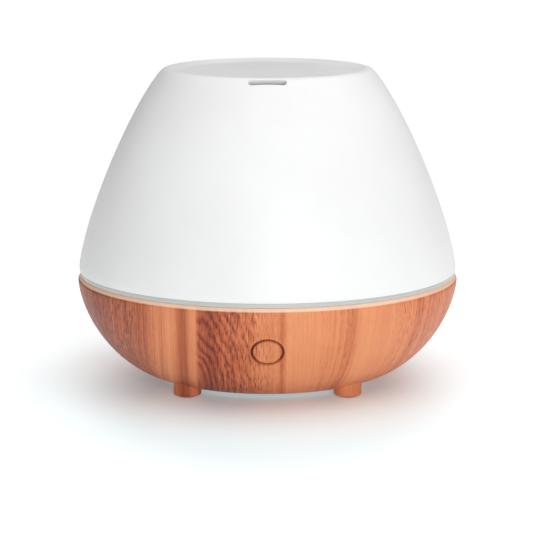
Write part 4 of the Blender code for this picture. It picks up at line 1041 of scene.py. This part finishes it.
dress("driver_board", GREEN, 0.12)
dress("power_transistor", BLACK, 0.3)
dress("control_chip", BLACK, 0.2)
dress("board_connector", WHITE, 0.3)
dress("heat_sink", ALUMINIUM, 0.15)
low, high = node_box("inductor")
cx, cy, rad = (low.x + high.x) / 2, (low.y + high.y) / 2, (high.x - low.x) / 2
bm = bmesh.new()
loop = rounded([(0, low.z), (rad, low.z, 0.3), (rad, low.z + 0.9, 0.2), (rad * 0.76, low.z + 1.3)], 3)
z = low.z + 1.35
while z < high.z - 1.7:
    loop += [(rad * 0.74, z), (rad * 0.78, z + 0.15), (rad * 0.74, z + 0.3)]
    z += 0.3
loop += rounded([(rad * 0.76, high.z - 1.3), (rad, high.z - 0.9, 0.2), (rad, high.z, 0.3), (0, high.z)], 3)
add_lathe(bm, loop, 48, (cx, cy))
coil = make(bm, "choke", [BLACK, COPPER])
for face in coil.data.polygons:
    mid = face.center / MM
    if low.z + 1.3 < mid.z < high.z - 1.35 and math.hypot(mid.x - cx, mid.y - cy) < rad * 0.8:
        face.material_index = 1
own(coil, "base", "black_plastic", "inductor")
for k in (1, 2):
    low, high = node_box("capacitor_%d" % k)
    cx, cy, rad = (low.x + high.x) / 2, (low.y + high.y) / 2, (high.x - low.x) / 2
    bm = bmesh.new()
    loop = rounded([(0, low.z), (rad, low.z, 0.3), (rad, low.z + 0.8, 0.15), (rad * 0.93, low.z + 1.1, 0.2), (rad, low.z + 1.45, 0.2),
                    (rad, high.z, 0.5), (rad * 0.8, high.z, 0.1), (rad * 0.75, high.z - 0.1), (0, high.z - 0.1)], 4)
    add_lathe(bm, loop, 40, (cx, cy))
    can = make(bm, "can_%d" % k, [ALUMINIUM, BLACK])
    for face in can.data.polygons:
        if face.center.z < (high.z - 0.5) * MM:
            face.material_index = 1
    own(can, "base", "aluminium", "capacitor_%d" % k)

# ------------------------------------------------------------------ fan

bm = bmesh.new()
half, corner = FAN_W / 2, 3.0
ring = []
for sx, sy, start in ((1, 1, 0), (-1, 1, 90), (-1, -1, 180), (1, -1, 270)):
    for k in range(9):
        a = math.radians(start + 90 * k / 8)
        ring.append((FAN_X + sx * (half - corner) + corner * math.cos(a), FAN_Y + sy * (half - corner) + corner * math.sin(a)))
add_rings(bm, [[(x, y, z) for x, y in ring] for z in (FAN_Z0, FAN_Z1)], False)
blower = make(bm, "fan_case", BLACK)


def fan_bore(bm):
    loop = [(0, FAN_Z0 - 1), (FAN_BORE, FAN_Z0 - 1), (FAN_BORE, FAN_Z1 + 1), (0, FAN_Z1 + 1)]
    add_lathe(bm, loop, 96, (FAN_X, FAN_Y))
    for sx in (-1, 1):
        for sy in (-1, 1):
            add_cyl(bm, 1.7, FAN_Z0 - 1, FAN_Z1 + 1, (FAN_X + sx * FAN_HOLE, FAN_Y + sy * FAN_HOLE), 28)


def fan_struts(bm):
    add_box(bm, FAN_X - 19.3, FAN_X + 19.3, FAN_Y - 1.0, FAN_Y + 1.0, FAN_Z0, FAN_Z0 + 1.4)
    add_box(bm, FAN_X - 1.0, FAN_X + 1.0, FAN_Y - 19.3, FAN_Y + 19.3, FAN_Z0 + 0.05, FAN_Z0 + 1.35)
    add_cyl(bm, 8.2, FAN_Z0, FAN_Z0 + 1.5, (FAN_X, FAN_Y), 48)


boolean(blower, "DIFFERENCE", fan_bore)
boolean(blower, "UNION", fan_struts)
soften(blower, 0.25, 2, 50)
own(blower, "base", "black_plastic", "fan_frame")

bm = bmesh.new()
add_lathe(bm, rounded([(0, 10.1), (8.3, 10.1, 0.2), (8.3, 17.2, 0.9), (5.2, 17.3, 0.2), (5.0, 17.15), (0, 17.15)], 5), 64, (FAN_X, FAN_Y))
rotor = make(bm, "fan_wheel", BLACK)


def blades(bm):
    for k in range(7):
        spin = Matrix.Translation((FAN_X, FAN_Y, 13.6)) @ Matrix.Rotation(2 * math.pi * k / 7, 4, "Z")
        sections = []
        for j in range(11):
            radius = 7.2 + 10.5 * j / 10
            pitch_angle = math.radians(52 - 2.0 * (radius - 7.2))
            chord = 3.9 + 0.14 * (radius - 7.2)
            c, s = math.cos(pitch_angle), math.sin(pitch_angle)
            sweep = 0.10 * (radius - 7.2)
            section = []
            for u, v in ((-1, -0.2), (-0.5, -0.50), (0, -0.62), (0.5, -0.55), (1, -0.25), (1, 0.15), (0.5, 0.40), (0, 0.38), (-0.5, 0.45), (-1, 0.2)):
                y = u * chord * c - v * s + sweep
                z = min(max(u * chord * s + v * c, -3.3), 3.3)
                section.append((radius, y, z))
            sections.append(section)
        made = add_rings(bm, sections, False)
        bmesh.ops.transform(bm, matrix=spin, verts=made)


boolean(rotor, "UNION", blades)
own(rotor, "fan", "black_plastic", "fan_rotor")
dress("fan_duct", WHITE, 0.2)

# ------------------------------------------------------------------ power jack

bm = bmesh.new()
add_box(bm, -4.5, 4.5, jack_low.y, 72.3, JACK_Z - 4.5, JACK_Z + 4.5)
jack = make(bm, "power_socket", [BLACK, BRASS])


def jack_nose(bm):
    add_lathe(bm, rounded([(0, 71.8), (JACK_HOLE_R - 0.35, 71.8), (JACK_HOLE_R - 0.35, jack_high.y, 0.4), (0, jack_high.y)], 4), 56, (0, 0), JACK_FRAME)


def jack_socket(bm):
    add_lathe(bm, [(1.0, 67.9), (3.1, 67.9), (3.1, 74.9), (3.5, 75.4), (3.5, 77.0), (1.0, 77.0)], 48, (0, 0), JACK_FRAME)


def jack_pin(bm):
    add_cyl(bm, 2.0, 74.3, 78.0, (0, 0), 32, JACK_FRAME)


boolean(jack, "UNION", jack_nose)
boolean(jack, "DIFFERENCE", jack_socket)
boolean(jack, "DIFFERENCE", jack_pin)
for face in jack.data.polygons:
    mid = face.center / MM
    if math.hypot(mid.x, mid.z - JACK_Z) < 1.05 and mid.y > 67.95:
        face.material_index = 1
own(jack, "base", "black_plastic", "dc_jack")

# ------------------------------------------------------------------ leads

for name, mat in (("lead_power", LEAD_RED), ("lead_fan", LEAD_RED), ("lead_transducer", LEAD_BLACK), ("lead_led", LEAD_RED), ("lead_button", LEAD_BLACK)):
    obj = dress(name, mat)
    sub = obj.modifiers.new("smooth", "SUBSURF")
    sub.levels = sub.render_levels = 2

# ------------------------------------------------------------------ stage, light, camera

floor_nodes = Nodes("floor_pale")
fx, fy, fz = floor_nodes.split(floor_nodes.place())
fx = floor_nodes.math("DIVIDE", fx, 0.082)
fy = floor_nodes.math("DIVIDE", floor_nodes.math("ADD", fy, 0.06), 0.12)
away = floor_nodes.math("SQRT", floor_nodes.math("ADD", floor_nodes.math("MULTIPLY", fx, fx), floor_nodes.math("MULTIPLY", fy, fy)))
soft = floor_nodes.noise(floor_nodes.place(), 2.0, 2.0)
# painted shade: the floor's glow is weaker close to the base, a painted shadow round it
painted_shadow_falloff = floor_nodes.span(away, 0.62, 1.15)
warm = floor_nodes.span(away, 0.95, 2.1)      # the wood's warm bounce is held back this far out
# painted shade: close to the base the floor is also tinted darker and cooler, which holds back the wood's warm bounce
floor_nodes.set(Base_Color=floor_nodes.mix(warm, floor_nodes.mix(soft, (0.75, 0.86, 0.885), (0.765, 0.87, 0.895)), (0.88, 0.885, 0.89)), Roughness=0.45,
                Specular_IOR_Level=0.15, Emission_Color=(1.0, 1.0, 1.0), Emission_Strength=floor_nodes.math("MULTIPLY_ADD", painted_shadow_falloff, 0.18, 0.20))
bm = bmesh.new()
add_rings(bm, [[(-9000, -6000, -20), (9000, -6000, -20), (9000, 9000, -20), (-9000, 9000, -20)],
               [(-9000, -6000, 0), (9000, -6000, 0), (9000, 9000, 0), (-9000, 9000, 0)]], False)
floor = make(bm, "floor", floor_nodes.mat)

world = bpy.data.worlds.new("studio")
bpy.context.scene.world = world
world.use_nodes = True
wt = world.node_tree
back = wt.nodes["Background"]
direction = wt.nodes.new("ShaderNodeTexCoord").outputs["Generated"]
split = wt.nodes.new("ShaderNodeSeparateXYZ")
wt.links.new(direction, split.inputs[0])


def sky_part(axis, low_at, high_at, low, high):
    part = wt.nodes.new("ShaderNodeMapRange")
    part.interpolation_type = "SMOOTHSTEP"
    for s, v in zip(part.inputs[1:5], (low_at, high_at, low, high)):
        s.default_value = v
    wt.links.new(split.outputs[axis], part.inputs[0])
    return part.outputs[0]


blend = wt.nodes.new("ShaderNodeMath")
blend.operation = "MULTIPLY"
wt.links.new(sky_part(0, -0.9, 0.6, 0.06, 0.15), blend.inputs[0])      # dimmer from the left
wt.links.new(sky_part(2, 0.45, 0.98, 1.0, 14.0), blend.inputs[1])         # and brighter from above
wt.links.new(blend.outputs[0], back.inputs["Strength"])
back.inputs["Color"].default_value = (1.0, 1.0, 1.0, 1.0)


def area(name, place, target, size, power, colour=(1, 1, 1)):
    data = bpy.data.lights.new(name, "AREA")
    data.shape = "DISK"
    data.size = size
    data.energy = power
    data.color = colour
    lamp = bpy.data.objects.new(name, data)
    bpy.context.scene.collection.objects.link(lamp)
    lamp.location = place
    lamp.rotation_euler = (Vector(target) - Vector(place)).to_track_quat("-Z", "Y").to_euler()
    return lamp


area("key", (0.34, -1.75, 0.42), (0, 0, 0.07), 0.8, 12.3)

camera = bpy.data.cameras.new("camera")
camera.sensor_width = 36.0
camera.lens = 2286.0 / 540.0 * 36.0
camera.shift_x = 2.5 / 540.0
camera.clip_start = 0.05
eye = bpy.data.objects.new("camera", camera)
bpy.context.scene.collection.objects.link(eye)
eye.location = (0.0, -1.0, 0.2387)
eye.rotation_euler = (math.radians(90 - 10.824), 0.0, 0.0)
bpy.context.scene.camera = eye
bpy.context.scene.view_settings.view_transform = "Standard"
bpy.context.scene.view_settings.look = "None"
